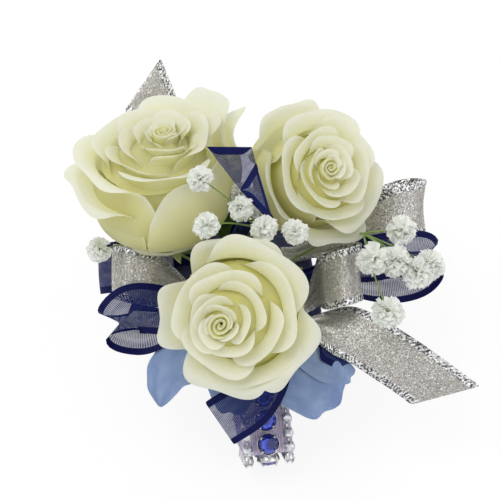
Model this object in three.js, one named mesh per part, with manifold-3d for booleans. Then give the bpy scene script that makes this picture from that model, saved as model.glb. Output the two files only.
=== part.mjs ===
// Wrist corsage: three cream roses with silver and navy ribbon, blue fabric leaves and baby's breath,
// glued to a felt pad on a wristlet plate that hangs from a stretch bracelet of set stones.
// Millimetres, +Z up. The bracelet lies along Y, the wrist passes along X, and the origin is on the
// surface under the middle of the bracelet's flat run.
import * as THREE from 'three';
import { mergeVertices } from 'three/addons/utils/BufferGeometryUtils.js';
import Module from 'manifold-3d';

const wasm = await Module();
wasm.setup();

// Driving dimensions

const SEAT_GAP = 0.3; // glue line between a piece and what carries it
const STONE_DIAMETER = 8; // blue chaton
const STONE_CROWN = 1.5;
const STONE_PAVILION = 2.2;
const STONE_TABLE = 5; // across the flat top
const STONE_PITCH = 9.5;
const STONE_COUNT = 14;
const CUP_WALL = 0.6;
const CUP_FLOOR = 0.9;
const CUP_TAPER = 0.8; // foot of a cup, as a share of its rim
const PRONG_REACH = 0.6; // how far up the crown a prong reaches
const CLEAR_DIAMETER = 4.6; // clear chaton
const CLEAR_TABLE = 2.6;
const CLEAR_PITCH = 5.6;
const CLEAR_COUNT = 24;
const ROW_SPACING = 8.2; // from the blue row to each clear row
const CHAIN_BAR = 1; // bars that link one cup to the next
const ELASTIC_WIDTH = 20;
const ELASTIC_THICKNESS = 0.9;

const PLATE_LENGTH = 38; // along Y
const PLATE_WIDTH = 26;
const PLATE_THICKNESS = 1.2;
const PLATE_CENTRE_Y = 10;
const PLATE_UNDERSIDE_Z = 44;
const SLOT_WIDTH = 1.6;
const SLOT_INSET = 2.2; // from the end of the plate to the middle of a slot
const PAD_LENGTH = 66; // along Y
const PAD_WIDTH = 56;
const PAD_THICKNESS = 3;
const PAD_CENTRE_Y = 27;

const PETAL_THICKNESS = 0.9;
const HIP_RADIUS = 7;
const HIP_HEIGHT = 11;
const HIP_SLOPE = 0.6; // rise of the cone the petals stand on
const STEM_DIAMETER = 4.4;
const SILVER_WIDTH = 22;
const NAVY_WIDTH = 20;
const RIBBON_THICKNESS = 0.6;
const RIBBON_PINCH = 0.36; // width of a ribbon where it is glued down, as a share of its full width
const LEAF_THICKNESS = 0.6;
const SPRIG_DIAMETER = 1.3;
const BLOOM_DIAMETER = 8;

// Where the bracelet runs: it hangs from the plate, folds sharply in front, lies flat underneath and
// comes up round behind
const STONES_BEFORE_FOLD = 3;
const CLEARS_BEFORE_FOLD = 5;
const STONE_AT_ORIGIN = 5; // counted from the fold
const RUN_FOLD_Z = 19;
const RUN_SLOPE_SPREAD = 14; // along Y, from the fold to the flat
const RUN_FLAT_LENGTH = 57;
const RUN_BACK_BULGE = 14;

const SETTING_HEIGHT = CUP_FLOOR + STONE_PAVILION + STONE_CROWN;
const PAD_UNDERSIDE_Z = PLATE_UNDERSIDE_Z + PLATE_THICKNESS + SEAT_GAP;
const PAD_TOP_Z = PAD_UNDERSIDE_Z + PAD_THICKNESS;
const SEAT_Z = PAD_TOP_Z + SEAT_GAP;

// Materials

function material(color, roughness, metalness = 0) {
  return new THREE.MeshStandardMaterial({ color, roughness, metalness });
}

const cream = material('#e9e8cf', 0.6);
const green = material('#4c6b2c', 0.6);
const tape = material('#6f8a45', 0.7);
const silver = material('#b9b6b0', 0.35, 0.7);
const navy = material('#1a2357', 0.6);
const paleBlue = material('#86a3d2', 0.8);
const white = material('#f3f4ee', 0.7);
const metal = material('#c9c9cc', 0.2, 1);
const sapphire = material('#1b2bb0', 0.05);
const clear = material('#dcdce6', 0.05);
const lilac = material('#d9d3ee', 0.3);
const felt = material('#1d2a55', 0.95);

// Solids

// A closed grid of points: rows of rings, capped by a fan at each end.
function closedSkin(rows) {
  const columns = rows[0].length;
  const position = rows.flat().flatMap((p) => [p.x, p.y, p.z]);
  const index = [];
  for (let i = 0; i + 1 < rows.length; i++) {
    for (let j = 0; j < columns; j++) {
      const a = i * columns + j;
      const b = i * columns + ((j + 1) % columns);
      index.push(a, b, b + columns, a, b + columns, a + columns);
    }
  }
  const last = (rows.length - 1) * columns;
  for (let j = 1; j + 1 < columns; j++) {
    index.push(0, j + 1, j);
    index.push(last, last + j, last + j + 1);
  }
  return new THREE.BufferGeometry()
    .setAttribute('position', new THREE.Float32BufferAttribute(position, 3))
    .setIndex(index);
}

// A thin sheet of even thickness over surface(across, along), both from 0 to 1.
function sheet(surface, across, along, thickness) {
  const step = 1e-3;
  const offset = (a, b, side) => {
    const low = (x) => Math.max(0, x - step);
    const high = (x) => Math.min(1, x + step);
    const acrossWay = surface(high(a), b).sub(surface(low(a), b));
    const alongWay = surface(a, high(b)).sub(surface(a, low(b)));
    const normal = acrossWay.cross(alongWay).normalize();
    return surface(a, b).addScaledVector(normal, (side * thickness) / 2);
  };
  const rows = [];
  for (let j = 0; j <= along; j++) {
    const row = [];
    for (let i = 0; i <= across; i++) row.push(offset(i / across, j / along, 1));
    for (let i = across; i >= 0; i--) row.push(offset(i / across, j / along, -1));
    rows.push(row);
  }
  return stripEnds(rows, across + 1);
}

// Closes a sheet's rows: each row runs along one face and back along the other.
function stripEnds(rows, count) {
  const columns = rows[0].length;
  const position = rows.flat().flatMap((p) => [p.x, p.y, p.z]);
  const index = [];
  const quad = (a, b, c, d) => index.push(a, b, c, a, c, d);
  for (let i = 0; i + 1 < rows.length; i++) {
    for (let j = 0; j < columns; j++) {
      const a = i * columns + j;
      const b = i * columns + ((j + 1) % columns);
      quad(a, b, b + columns, a + columns);
    }
  }
  const last = (rows.length - 1) * columns;
  for (let j = 0; j + 1 < count; j++) {
    const over = columns - 1 - j;
    quad(j, over, over - 1, j + 1);
    quad(last + j, last + j + 1, last + over - 1, last + over);
  }
  return new THREE.BufferGeometry()
    .setAttribute('position', new THREE.Float32BufferAttribute(position, 3))
    .setIndex(index);
}

function solid(geometry) {
  const bare = geometry.clone();
  bare.deleteAttribute('normal');
  bare.deleteAttribute('uv');
  const merged = mergeVertices(bare, 1e-4);
  return new wasm.Manifold(new wasm.Mesh({
    numProp: 3,
    vertProperties: new Float32Array(merged.attributes.position.array),
    triVerts: new Uint32Array(merged.index.array),
  }));
}

function geometryOf(made) {
  const mesh = made.getMesh();
  return new THREE.BufferGeometry()
    .setAttribute('position', new THREE.BufferAttribute(mesh.vertProperties, 3))
    .setIndex(new THREE.BufferAttribute(mesh.triVerts, 1));
}

function fuse(geometries) {
  return geometryOf(geometries.map(solid).reduce((whole, next) => whole.add(next)));
}

// A turned form about Z from [radius, height] pairs that start and end on the axis.
function turned(profile, sides) {
  const points = profile.map(([radius, height]) => new THREE.Vector2(radius, height));
  return new THREE.LatheGeometry(points, sides).rotateX(Math.PI / 2);
}

// A round tube along points, with flat ends.
function tube(points, diameter, steps, sides) {
  const section = new THREE.Shape();
  section.absarc(0, 0, diameter / 2, 0, Math.PI * 2);
  return new THREE.ExtrudeGeometry(section, {
    extrudePath: new THREE.CatmullRomCurve3(points),
    steps,
    curveSegments: sides,
    bevelEnabled: false,
  });
}

const corsage = new THREE.Group();

function piece(name, geometry, look, parent = corsage) {
  const mesh = new THREE.Mesh(geometry, look);
  mesh.name = name;
  parent.add(mesh);
  return mesh;
}

const at = (x, y, z) => new THREE.Vector3(x, y, z);

// Bracelet

// The run of the elastic's outer face, in Y and Z, from the plate's front slot round to its back slot.
// Its place along Y puts one stone of the flat stretch over the origin.
const slotFront = PLATE_CENTRE_Y - PLATE_LENGTH / 2 + SLOT_INSET;
const slotBack = PLATE_CENTRE_Y + PLATE_LENGTH / 2 - SLOT_INSET;

function braceletRun() {
  const slope = Math.hypot(RUN_SLOPE_SPREAD, RUN_FOLD_Z - SETTING_HEIGHT);
  const flatStartY = slope - (STONE_AT_ORIGIN - 0.5) * STONE_PITCH;
  const front = new THREE.Vector2(slotFront, PLATE_UNDERSIDE_Z);
  const fold = new THREE.Vector2(flatStartY - RUN_SLOPE_SPREAD, RUN_FOLD_Z);
  const flatStart = new THREE.Vector2(flatStartY, SETTING_HEIGHT);
  const flatEnd = new THREE.Vector2(flatStartY + RUN_FLAT_LENGTH, SETTING_HEIGHT);
  const back = new THREE.Vector2(slotBack, PLATE_UNDERSIDE_Z);
  const bulge = (p) => new THREE.Vector2(Math.max(flatEnd.x, back.x) + RUN_BACK_BULGE, p.y);
  const run = new THREE.CurvePath();
  run.add(new THREE.LineCurve(front, fold));
  run.add(new THREE.LineCurve(fold, flatStart));
  run.add(new THREE.LineCurve(flatStart, flatEnd));
  run.add(new THREE.CubicBezierCurve(flatEnd, bulge(flatEnd), bulge(back), back));
  return run;
}

const run = braceletRun();
const runLength = run.getLength();
const [foldAt, flatStartAt, flatEndAt] = run.getCurveLengths();

// The point of the run at a distance, with its outward direction, in Y and Z.
function onRun(distance) {
  const share = distance / runLength;
  const forward = run.getTangent(share);
  return { point: run.getPoint(share), outward: new THREE.Vector2(forward.y, -forward.x) };
}

// Stands a setting on the run: its local X stays across the bracelet and its Z points outward.
function settingFrame(distance, across) {
  const { point, outward } = onRun(distance);
  const up = at(0, outward.x, outward.y);
  const side = at(1, 0, 0);
  const frame = new THREE.Matrix4().makeBasis(side, up.clone().cross(side), up);
  return frame.setPosition(across, point.x, point.y);
}

// Settings stand either side of the fold by half a pitch, so that the fold falls between two.
function settingDistances(count, pitch, before) {
  return Array.from({ length: count }, (_, i) => foldAt + (i + 0.5 - before) * pitch);
}

// A round stone with its table up, girdle and culet, whose culet stands at the given height.
function stone(diameter, table, crown, pavilion, culetZ, sides) {
  const girdle = culetZ + pavilion;
  const top = girdle + crown;
  return turned([[0, culetZ], [diameter / 2, girdle], [table / 2, top], [0, top]], sides);
}

// An open cup with a conical seat for the stone's pavilion. Every second corner of its rim is drawn
// up into a prong that leans in over the stone's crown.
function prongCup() {
  const corners = 8;
  const outer = STONE_DIAMETER / 2 + CUP_WALL;
  const girdle = CUP_FLOOR + STONE_PAVILION;
  const grip = girdle + STONE_CROWN * PRONG_REACH;
  const crownRadius = STONE_DIAMETER / 2 - ((STONE_DIAMETER - STONE_TABLE) / 2) * PRONG_REACH;
  const ring = (onRim, onProng) => Array.from({ length: corners }, (_, i) => {
    const angle = (i / corners) * Math.PI * 2;
    const [radius, height] = i % 2 ? onProng : onRim;
    return at(radius * Math.cos(angle), radius * Math.sin(angle), height);
  });
  const foot = [outer * CUP_TAPER, 0];
  const shoulder = [outer, girdle - CUP_WALL];
  const ledge = [STONE_DIAMETER / 2 + SEAT_GAP, girdle - SEAT_GAP / 3];
  const seat = [SEAT_GAP, CUP_FLOOR - SEAT_GAP];
  return closedSkin([
    ring(foot, foot),
    ring(shoulder, shoulder),
    ring([outer, girdle], [crownRadius + SEAT_GAP + CUP_WALL, grip + SEAT_GAP]),
    ring([outer - CUP_WALL / 3, girdle], [crownRadius + SEAT_GAP, grip]),
    ring(ledge, ledge),
    ring(seat, seat),
  ]);
}

// A strip of rectangular section through stations of the run, from one rise above it to another.
function strip(stations, across, width, low, high) {
  const half = width / 2;
  return closedSkin(stations.map(({ point, outward }) => {
    const corner = (x, rise) => at(across + x, point.x + outward.x * rise, point.y + outward.y * rise);
    return [corner(-half, low), corner(half, low), corner(half, high), corner(-half, high)];
  }));
}

// Cups along the run, joined by bars that start inside each cup at a distance from its middle.
function cupChain(distances, across, setting, inside) {
  const settings = distances.map((d) => setting.clone().applyMatrix4(settingFrame(d, across)));
  const link = (next, i) => {
    const stations = [distances[i] + inside, (distances[i] + next) / 2, next - inside].map(onRun);
    return strip(stations, across, CHAIN_BAR, SEAT_GAP, SEAT_GAP + CHAIN_BAR);
  };
  return fuse([...settings, ...distances.slice(1).map(link)]);
}

// The small clear stones are fused with their cups.
function clearSetting() {
  const girdle = SETTING_HEIGHT - STONE_CROWN;
  const outer = CLEAR_DIAMETER / 2;
  const top = SETTING_HEIGHT;
  return turned([[0, 0], [outer * CUP_TAPER, 0], [outer, girdle], [CLEAR_TABLE / 2, top], [0, top]], 6);
}

function elastic(stations) {
  return strip(stations, 0, ELASTIC_WIDTH, -SEAT_GAP - ELASTIC_THICKNESS, -SEAT_GAP);
}

// Two stations that turn the elastic up into a slot of the plate, from the bend to its end.
function intoSlot(slotY, outwardY) {
  const end = new THREE.Vector2(slotY, PLATE_UNDERSIDE_Z + PLATE_THICKNESS - SEAT_GAP);
  const bend = new THREE.Vector2(slotY, PLATE_UNDERSIDE_Z - SEAT_GAP);
  return [
    { point: bend, outward: new THREE.Vector2(outwardY, 0.5).normalize() },
    { point: end, outward: new THREE.Vector2(outwardY, 0) },
  ];
}

function addBracelet() {
  const blue = settingDistances(STONE_COUNT, STONE_PITCH, STONES_BEFORE_FOLD);
  const small = settingDistances(CLEAR_COUNT, CLEAR_PITCH, CLEARS_BEFORE_FOLD);
  piece('blue_cup_chain', cupChain(blue, 0, prongCup(), (STONE_DIAMETER / 2) * CUP_TAPER), metal);
  blue.forEach((d, i) => {
    const gem = stone(STONE_DIAMETER, STONE_TABLE, STONE_CROWN, STONE_PAVILION, CUP_FLOOR, 8);
    piece(`blue_stone_${String(i + 1).padStart(2, '0')}`, gem.applyMatrix4(settingFrame(d, 0)), sapphire);
  });
  piece('clear_chain_left', cupChain(small, -ROW_SPACING, clearSetting(), 0), clear);
  piece('clear_chain_right', cupChain(small, ROW_SPACING, clearSetting(), 0), clear);

  const bandStart = Math.min(blue[0] - STONE_DIAMETER / 2, small[0] - CLEAR_DIAMETER / 2);
  const bandEnd = Math.max(blue.at(-1) + STONE_DIAMETER / 2, small.at(-1) + CLEAR_DIAMETER / 2);
  const between = (from, to, steps) => (
    Array.from({ length: steps + 1 }, (_, i) => from + ((to - from) * i) / steps)
  );
  const band = [bandStart, foldAt, flatStartAt, ...between(flatEndAt, bandEnd, 6)];
  const front = [SLOT_INSET, bandStart - SEAT_GAP];
  const back = between(bandEnd + SEAT_GAP, runLength - SLOT_INSET, 4);
  piece('elastic_band', elastic(band.map(onRun)), lilac);
  piece('elastic_front', elastic([...intoSlot(slotFront, -1).reverse(), ...front.map(onRun)]), lilac);
  piece('elastic_back', elastic([...back.map(onRun), ...intoSlot(slotBack, 1)]), lilac);
}

// Plate and pad

function roundedRectangle(width, length, centreY, radius) {
  const shape = new THREE.Shape();
  const [left, low] = [-width / 2, centreY - length / 2];
  const [right, high] = [width / 2, centreY + length / 2];
  shape.absarc(right - radius, low + radius, radius, -Math.PI / 2, 0);
  shape.absarc(right - radius, high - radius, radius, 0, Math.PI / 2);
  shape.absarc(left + radius, high - radius, radius, Math.PI / 2, Math.PI);
  shape.absarc(left + radius, low + radius, radius, Math.PI, Math.PI * 1.5);
  return shape;
}

function slab(shape, underside, thickness) {
  const cut = { depth: thickness, bevelEnabled: false, curveSegments: 5 };
  return new THREE.ExtrudeGeometry(shape, cut).translate(0, 0, underside);
}

function addPlateAndPad() {
  const plate = roundedRectangle(PLATE_WIDTH, PLATE_LENGTH, PLATE_CENTRE_Y, PLATE_WIDTH / 10);
  const stripCentre = SEAT_GAP + ELASTIC_THICKNESS / 2;
  for (const slotY of [slotFront + stripCentre, slotBack - stripCentre]) {
    const slot = new THREE.Path();
    const halfLength = ELASTIC_WIDTH / 2 + SEAT_GAP;
    slot.moveTo(-halfLength, slotY - SLOT_WIDTH / 2);
    slot.lineTo(-halfLength, slotY + SLOT_WIDTH / 2);
    slot.lineTo(halfLength, slotY + SLOT_WIDTH / 2);
    slot.lineTo(halfLength, slotY - SLOT_WIDTH / 2);
    slot.closePath();
    plate.holes.push(slot);
  }
  piece('wristlet_plate', slab(plate, PLATE_UNDERSIDE_Z, PLATE_THICKNESS), metal);
  const pad = roundedRectangle(PAD_WIDTH, PAD_LENGTH, PAD_CENTRE_Y, PAD_WIDTH / 3);
  piece('felt_pad', slab(pad, PAD_UNDERSIDE_Z, PAD_THICKNESS), felt);
}

// Roses

// Rings of petals, with profiles as [radius, height] of the base, the belly and the lip, at full size.
// The rim of a petal rolls outward past its lip.
const WHORLS = [
  { name: 'inner_petals', rings: [
    { count: 3, base: 3, belly: [10, 20], lip: [8.5, 43.5], roll: 1, spread: 75, turn: 20 },
  ] },
  { name: 'middle_petals', rings: [
    { count: 5, base: 4.5, belly: [18, 18], lip: [16.5, 41.5], roll: 2, spread: 47, turn: 0 },
  ] },
  { name: 'outer_petals', rings: [
    { count: 5, base: 5.9, belly: [22.5, 12], lip: [22.5, 37.5], roll: 3, spread: 46, turn: 0 },
    { count: 5, base: 6.3, belly: [30, 6], lip: [27.5, 33], roll: 4, spread: 46, turn: 36 },
  ] },
];
const LIP_SHARE = 0.75; // where the lip comes, as a share of the way from the base to the rolled rim
const HEART_RADIUS = 6;
const HEART_TOP = 43;
const HEART_TURNS = 1.6;
const SEPAL_REACH = 14;
const SEPAL_WIDTH = 8;

// Height at which a whorl of a given base radius stands clear of the hip's cone.
function petalSeat(radius) {
  return (HIP_RADIUS - radius) * HIP_SLOPE + SEAT_GAP + PETAL_THICKNESS / 2;
}

// One petal: a curved profile swept round the rose, one edge lying outside the next petal's.
function petal({ base, belly, lip, roll, spread }, heading) {
  const seat = new THREE.Vector2(base, petalSeat(base));
  const edge = new THREE.Vector2(...lip);
  const rim = new THREE.Vector2(lip[0] + roll, lip[1] + roll / 4);
  const wall = new THREE.QuadraticBezierCurve(seat, new THREE.Vector2(...belly), edge);
  const profile = (share) => (share < LIP_SHARE
    ? wall.getPoint(share / LIP_SHARE)
    : edge.clone().lerp(rim, (share - LIP_SHARE) / (1 - LIP_SHARE)));
  return sheet((a, b) => {
    const side = a * 2 - 1;
    const { x: radius, y: height } = profile(b * (1 - 0.14 * side * side));
    const pinwheel = side * PETAL_THICKNESS * (0.2 + 1.1 * b);
    const angle = heading + (side * spread * Math.PI) / 180;
    return at((radius + pinwheel) * Math.cos(angle), (radius + pinwheel) * Math.sin(angle), height);
  }, 4, 4, PETAL_THICKNESS);
}

function whorl(rings) {
  return fuse(rings.flatMap((ring) => Array.from({ length: ring.count }, (_, i) => (
    petal(ring, (i / ring.count) * Math.PI * 2 + (ring.turn * Math.PI) / 180)
  ))));
}

// The furled heart: one petal wound on itself, narrow at its foot.
function heart() {
  const foot = HIP_RADIUS * HIP_SLOPE + SEAT_GAP;
  return sheet((a, b) => {
    const angle = a * HEART_TURNS * Math.PI * 2;
    const radius = HEART_RADIUS * (0.25 + 0.75 * a) * (0.3 + 0.7 * Math.sqrt(b));
    return at(radius * Math.cos(angle), radius * Math.sin(angle), foot + (HEART_TOP - foot) * b);
  }, 13, 2, PETAL_THICKNESS / 2);
}

// The green hip under the petals with its five sepals bent back.
function calyx() {
  const neck = STEM_DIAMETER / 2;
  const hip = turned([
    [0, -HIP_HEIGHT], [neck, -HIP_HEIGHT], [HIP_RADIUS * 0.8, -HIP_HEIGHT * 0.45],
    [HIP_RADIUS, 0], [0, HIP_RADIUS * HIP_SLOPE],
  ], 10);
  const sepals = Array.from({ length: 5 }, (_, i) => sheet((a, b) => {
    const reach = HIP_RADIUS * 0.7 + (SEPAL_REACH - HIP_RADIUS * 0.7) * b;
    const across = (a - 0.5) * SEPAL_WIDTH * (1.05 - b);
    return at(reach, across, -HIP_HEIGHT * (0.25 + 0.15 * b * b));
  }, 2, 2, LEAF_THICKNESS).rotateZ((i / 5) * Math.PI * 2));
  return fuse([hip, ...sepals]);
}

// Each rose stands on its base point along its axis; its stem bends over and lies on the pad.
const ROSES = [
  {
    name: 'front', size: 0.97, spin: 0.3,
    base: [-3.1, 4.9, 61.6], axis: [-0.198, -0.661, 0.724], lies: [[2, 25], [2.5, 36]],
  },
  {
    name: 'right', size: 0.87, spin: 1.1,
    base: [23.5, 55.7, 71.3], axis: [0.378, -0.475, 0.794], lies: [[11, 58], [7, 47]],
  },
  {
    name: 'left', size: 1, spin: 2.65,
    base: [-32.2, 45.9, 66], axis: [0.007, 0.263, 0.964], lies: [[-10, 43], [-6, 37]],
  },
];

function addRose({ name, size, base, axis, spin, lies }) {
  const up = at(...axis).normalize();
  const foot = at(...base);
  const lean = new THREE.Quaternion().setFromUnitVectors(at(0, 0, 1), up);
  const turn = new THREE.Quaternion().setFromAxisAngle(at(0, 0, 1), spin);
  const frame = new THREE.Matrix4().compose(foot, lean.multiply(turn), at(size, size, size));
  piece(`${name}_rose_heart`, heart().applyMatrix4(frame), cream);
  for (const { name: part, rings } of WHORLS) {
    piece(`${name}_rose_${part}`, whorl(rings).applyMatrix4(frame), cream);
  }
  piece(`${name}_rose_calyx`, calyx().applyMatrix4(frame), green);
  const below = (drop) => foot.clone().addScaledVector(up, -HIP_HEIGHT * size - drop);
  const lying = lies.map(([x, y], i) => at(x, y, SEAT_Z + STEM_DIAMETER / 2 + (i ? 0 : 3 * SEAT_GAP)));
  const line = [below(SEAT_GAP), below(2 * SEAT_GAP), ...lying];
  piece(`${name}_rose_stem`, tube(line, STEM_DIAMETER, 8, 4), tape);
}

// Ribbons and leaves

// A band along stations of [x, y, z, and the direction of its width], with its width at each share.
function band(stations, widthAt, thickness, steps) {
  const line = new THREE.CatmullRomCurve3(stations.map(([x, y, z]) => at(x, y, z)));
  const ways = new THREE.CatmullRomCurve3(stations.map(([, , , x, y, z]) => at(x, y, z)));
  return sheet((a, b) => {
    const forward = line.getTangent(b);
    const way = ways.getPoint(b);
    way.addScaledVector(forward, -way.dot(forward)).normalize();
    return line.getPoint(b).addScaledVector(way, (a - 0.5) * widthAt(b));
  }, 2, steps, thickness);
}

// Rise of a ribbon from its pinched root to its full width between two shares of its length.
function opening(share, from, to) {
  return RIBBON_PINCH + (1 - RIBBON_PINCH) * THREE.MathUtils.smoothstep(share, from, to);
}

// A loop leaves the pad, folds over and comes back to be glued down on its own root.
function ribbonLoop([x, y], stations, width) {
  const under = SEAT_Z + RIBBON_THICKNESS / 2;
  const over = under + RIBBON_THICKNESS + SEAT_GAP;
  const root = [0, 1, 0];
  const out = Math.sign(stations[0][0]) * 6;
  const path = [
    [x, y, under, ...root], [x + out, y, under, ...root],
    ...stations,
    [x + out, y, over, ...root], [x, y, over, ...root],
  ];
  const outline = (b) => width * Math.min(opening(b, 0.14, 0.34), opening(1 - b, 0.14, 0.34));
  return band(path, outline, RIBBON_THICKNESS, 20);
}

// A tail leaves the pad and ends in a cut.
function ribbonTail(stations, width) {
  return band(stations, (b) => width * opening(b, 0.25, 0.5), RIBBON_THICKNESS, 10);
}

function leaf(stations, width) {
  const outline = (b) => width * (0.16 + 0.84 * Math.sin(Math.PI * Math.min(1, b * 1.02)));
  return band(stations, outline, LEAF_THICKNESS, 7);
}

const RIBBON_SEAT = SEAT_Z + RIBBON_THICKNESS / 2;
const SECOND_SEAT = RIBBON_SEAT + RIBBON_THICKNESS + SEAT_GAP; // on top of what lies on the pad
const FACING = [0.1, 0.8, 0.6]; // width direction of a ribbon that faces the viewer

function addRibbons() {
  piece('silver_loop_front', ribbonLoop([16, 12], [
    [32, 17, 53.5, 0, 1, 0.2], [40, 19, 60, ...FACING], [43.5, 13.5, 65.5, ...FACING],
    [37, 9, 69, ...FACING], [29, 11, 64, ...FACING], [25.5, 13, 55.5, 0, 1, 0.3],
  ], SILVER_WIDTH), silver);
  piece('silver_loop_right', ribbonLoop([16, 38], [
    [32, 40, 50.5, 0, 1, 0.2], [52, 47, 54, ...FACING], [70, 50, 58, ...FACING],
    [75, 45, 62, ...FACING], [66, 41, 65, ...FACING], [46, 39, 57, ...FACING], [30, 38, 53, 0, 1, 0.2],
  ], SILVER_WIDTH), silver);
  piece('silver_loop_left', ribbonLoop([-16, 26], [
    [-31, 29, 50.5, 0, 1, 0.2], [-44, 34, 54, ...FACING], [-53, 33, 58, ...FACING],
    [-49, 28, 62.5, ...FACING], [-38, 24.5, 60.5, ...FACING], [-28, 25.5, 54, 0, 1, 0.3],
  ], SILVER_WIDTH), silver);
  piece('silver_tail_front', ribbonTail([
    [12, 3, SECOND_SEAT, 0, 1, 0], [21, 0.5, SECOND_SEAT, 0.2, 0.9, 0], [36, -7, 50.5, 0.5, 0.7, 0.25],
    [54, -19, 46, 0.64, 0.57, 0.5], [71, -31, 38, 0.64, 0.57, 0.5],
  ], SILVER_WIDTH), silver);
  piece('silver_tail_back', ribbonTail([
    [-13, 52, RIBBON_SEAT, 1, 0, 0], [-14, 60, RIBBON_SEAT + 0.4, 1, 0, 0], [-18, 78, 54, 1, 0.1, 0],
    [-25, 99, 63, 0.9, 0.2, 0.3], [-31, 116, 75, 0.9, 0.2, 0.3],
  ], SILVER_WIDTH), silver);
  piece('navy_end_centre', band([
    [-5, 22, RIBBON_SEAT, 1, 0, 0], [-5, 28, RIBBON_SEAT + 0.6, 1, 0, 0], [-3, 34, 58, 1, -0.1, 0],
    [-1, 35, 74, 0.9, -0.2, 0], [-1, 31, 91, 0.5, 0.6, 0.3], [-1, 38, 107, ...FACING],
    [-9, 42, 113, ...FACING],
  ], (b) => NAVY_WIDTH * opening(b, 0.65, 0.95), RIBBON_THICKNESS, 14), navy);
  piece('navy_loop_left', ribbonLoop([-16, 11], [
    [-31, 9, 51.5, 0, 1, 0.1], [-45, 6.5, 53, ...FACING], [-53, 7.5, 57, ...FACING],
    [-48, 11.5, 60, ...FACING], [-36, 11.5, 58, 0, 1, 0.5], [-27, 11, 54, 0, 1, 0.2],
  ], NAVY_WIDTH), navy);
  piece('navy_loop_far_left', ribbonLoop([-17, 42], [
    [-34, 44, 49, 0, 1, 0.2], [-49, 46, 44.5, ...FACING], [-58, 44, 46, ...FACING],
    [-54, 41, 50, ...FACING], [-40, 41, 50.5, ...FACING], [-29, 42, 50.7, 0, 1, 0.2],
  ], NAVY_WIDTH), navy);
  piece('navy_loop_right', ribbonLoop([16, 25], [
    [34, 24, 49.5, 0, 1, 0.2], [54, 21, 48.5, ...FACING], [68, 20, 52, ...FACING], [72, 23, 57, ...FACING],
    [62, 25, 58.5, 0, 1, 0.3], [46, 26, 55.5, 0, 1, 0.25], [30, 25, 52, 0, 1, 0.1],
  ], NAVY_WIDTH), navy);
  piece('navy_tail', ribbonTail([
    [1, 4, RIBBON_SEAT, 1, 0, 0], [2, -4, RIBBON_SEAT + 0.2, 1, 0, 0], [1.5, -17, 50, 0.95, -0.25, -0.1],
    [-6, -30, 48.5, 0.4, -0.75, -0.52], [-19.3, -36, 44.5, 0.04, -0.79, -0.61],
  ], NAVY_WIDTH), navy);
  piece('navy_end_right', ribbonTail([
    [20, -1.8, RIBBON_SEAT, 0.3, 0.9, 0], [25, -6, RIBBON_SEAT - 0.5, 0.4, 0.8, 0],
    [31, -11, 46.8, 0.5, 0.75, 0.15], [38, -15.8, 44.4, 0.5, 0.7, 0.2],
  ], NAVY_WIDTH), navy);
}

function addLeaves() {
  piece('blue_leaf_left', leaf([
    [-17, 2, RIBBON_SEAT, 0.6, -0.8, 0], [-26, -4, RIBBON_SEAT - 0.2, 0.67, -0.74, 0],
    [-36, -11, 45, 0.8, -0.6, 0.1], [-41, -22, 40, 0.95, -0.3, 0.1],
  ], 22), paleBlue);
  piece('blue_leaf_right', leaf([
    [11, -4, RIBBON_SEAT + 0.5, 0.75, 0.65, 0.05], [17.5, -16, 46.3, 0.75, 0.65, 0.06],
    [24, -23, 42.5, 0.75, 0.65, 0], [31, -31, 38.5, 0.75, 0.65, 0],
  ], 26), paleBlue);
  piece('blue_leaf_front', leaf([
    [-9, -4.5, RIBBON_SEAT, 0.95, -0.3, 0], [-10.5, -9.5, RIBBON_SEAT - 0.8, 0.95, -0.3, 0],
    [-12, -19, 44.5, 0.95, -0.3, 0], [-12, -29, 40, 0.95, -0.3, 0],
  ], 18), paleBlue);
  piece('green_leaf_centre', leaf([
    [1, 43, RIBBON_SEAT, 1, 0, 0], [0, 43, 54, 1, 0, 0], [-4, 41, 72, 1, 0.2, 0], [-6, 36, 88, 1, 0.2, 0],
  ], 12), green);
  piece('green_leaf_right', leaf([
    [9, 22, RIBBON_SEAT, 0, 1, 0], [12, 20, 54, 0.3, 1, 0],
    [17, 16, 64, 0.4, 0.9, 0], [20, 12, 74, 0.4, 0.9, 0],
  ], 9), green);
}

// Baby's breath

// Stems that part at a fork, above one root on the pad, each with a bloom at its tip.
function sprig(root, via, fork, blooms) {
  const split = at(...fork);
  const trunkLine = [at(...root, SEAT_Z + SPRIG_DIAMETER / 2), at(...via), split];
  const trunk = tube(trunkLine, SPRIG_DIAMETER, 4, 3);
  const parts = blooms.flatMap((bloom) => {
    const tip = at(...bloom);
    const twig = tube([split, split.clone().lerp(tip, 0.5), tip], SPRIG_DIAMETER, 2, 3);
    const head = new THREE.IcosahedronGeometry(BLOOM_DIAMETER / 2, 0).translate(...bloom);
    return [twig, head];
  });
  const joint = new THREE.IcosahedronGeometry(SPRIG_DIAMETER, 1).translate(...fork);
  return fuse([trunk, joint, ...parts]);
}

function addSprigs() {
  piece('sprig_centre', sprig([8, 40], [6, 33, 68], [3, 23, 89], [
    [-17, 31, 112], [-17, 15, 103], [-2.5, 24, 100], [5, 14, 99], [17, 13, 96],
  ]), white);
  piece('sprig_right', sprig([11, 31], [34, 33, 62], [46, 25, 75], [
    [61, 25, 78], [47.5, 12, 79], [56, 11, 77], [64, 7, 73], [70, 12, 71], [49, -12, 75],
  ]), white);
  piece('sprig_left', sprig([-14, 34], [-26, 37, 59.5], [-40.5, 34.5, 70.8], [[-57.5, 34, 71.5]]), white);
}

addBracelet();
addPlateAndPad();
ROSES.forEach(addRose);
addRibbons();
addLeaves();
addSprigs();

export default corsage;
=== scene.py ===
import random
from collections import namedtuple
from math import copysign, cos, exp, pi, radians, sin, sqrt

import bmesh
import bpy
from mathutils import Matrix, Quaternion, Vector, noise


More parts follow.
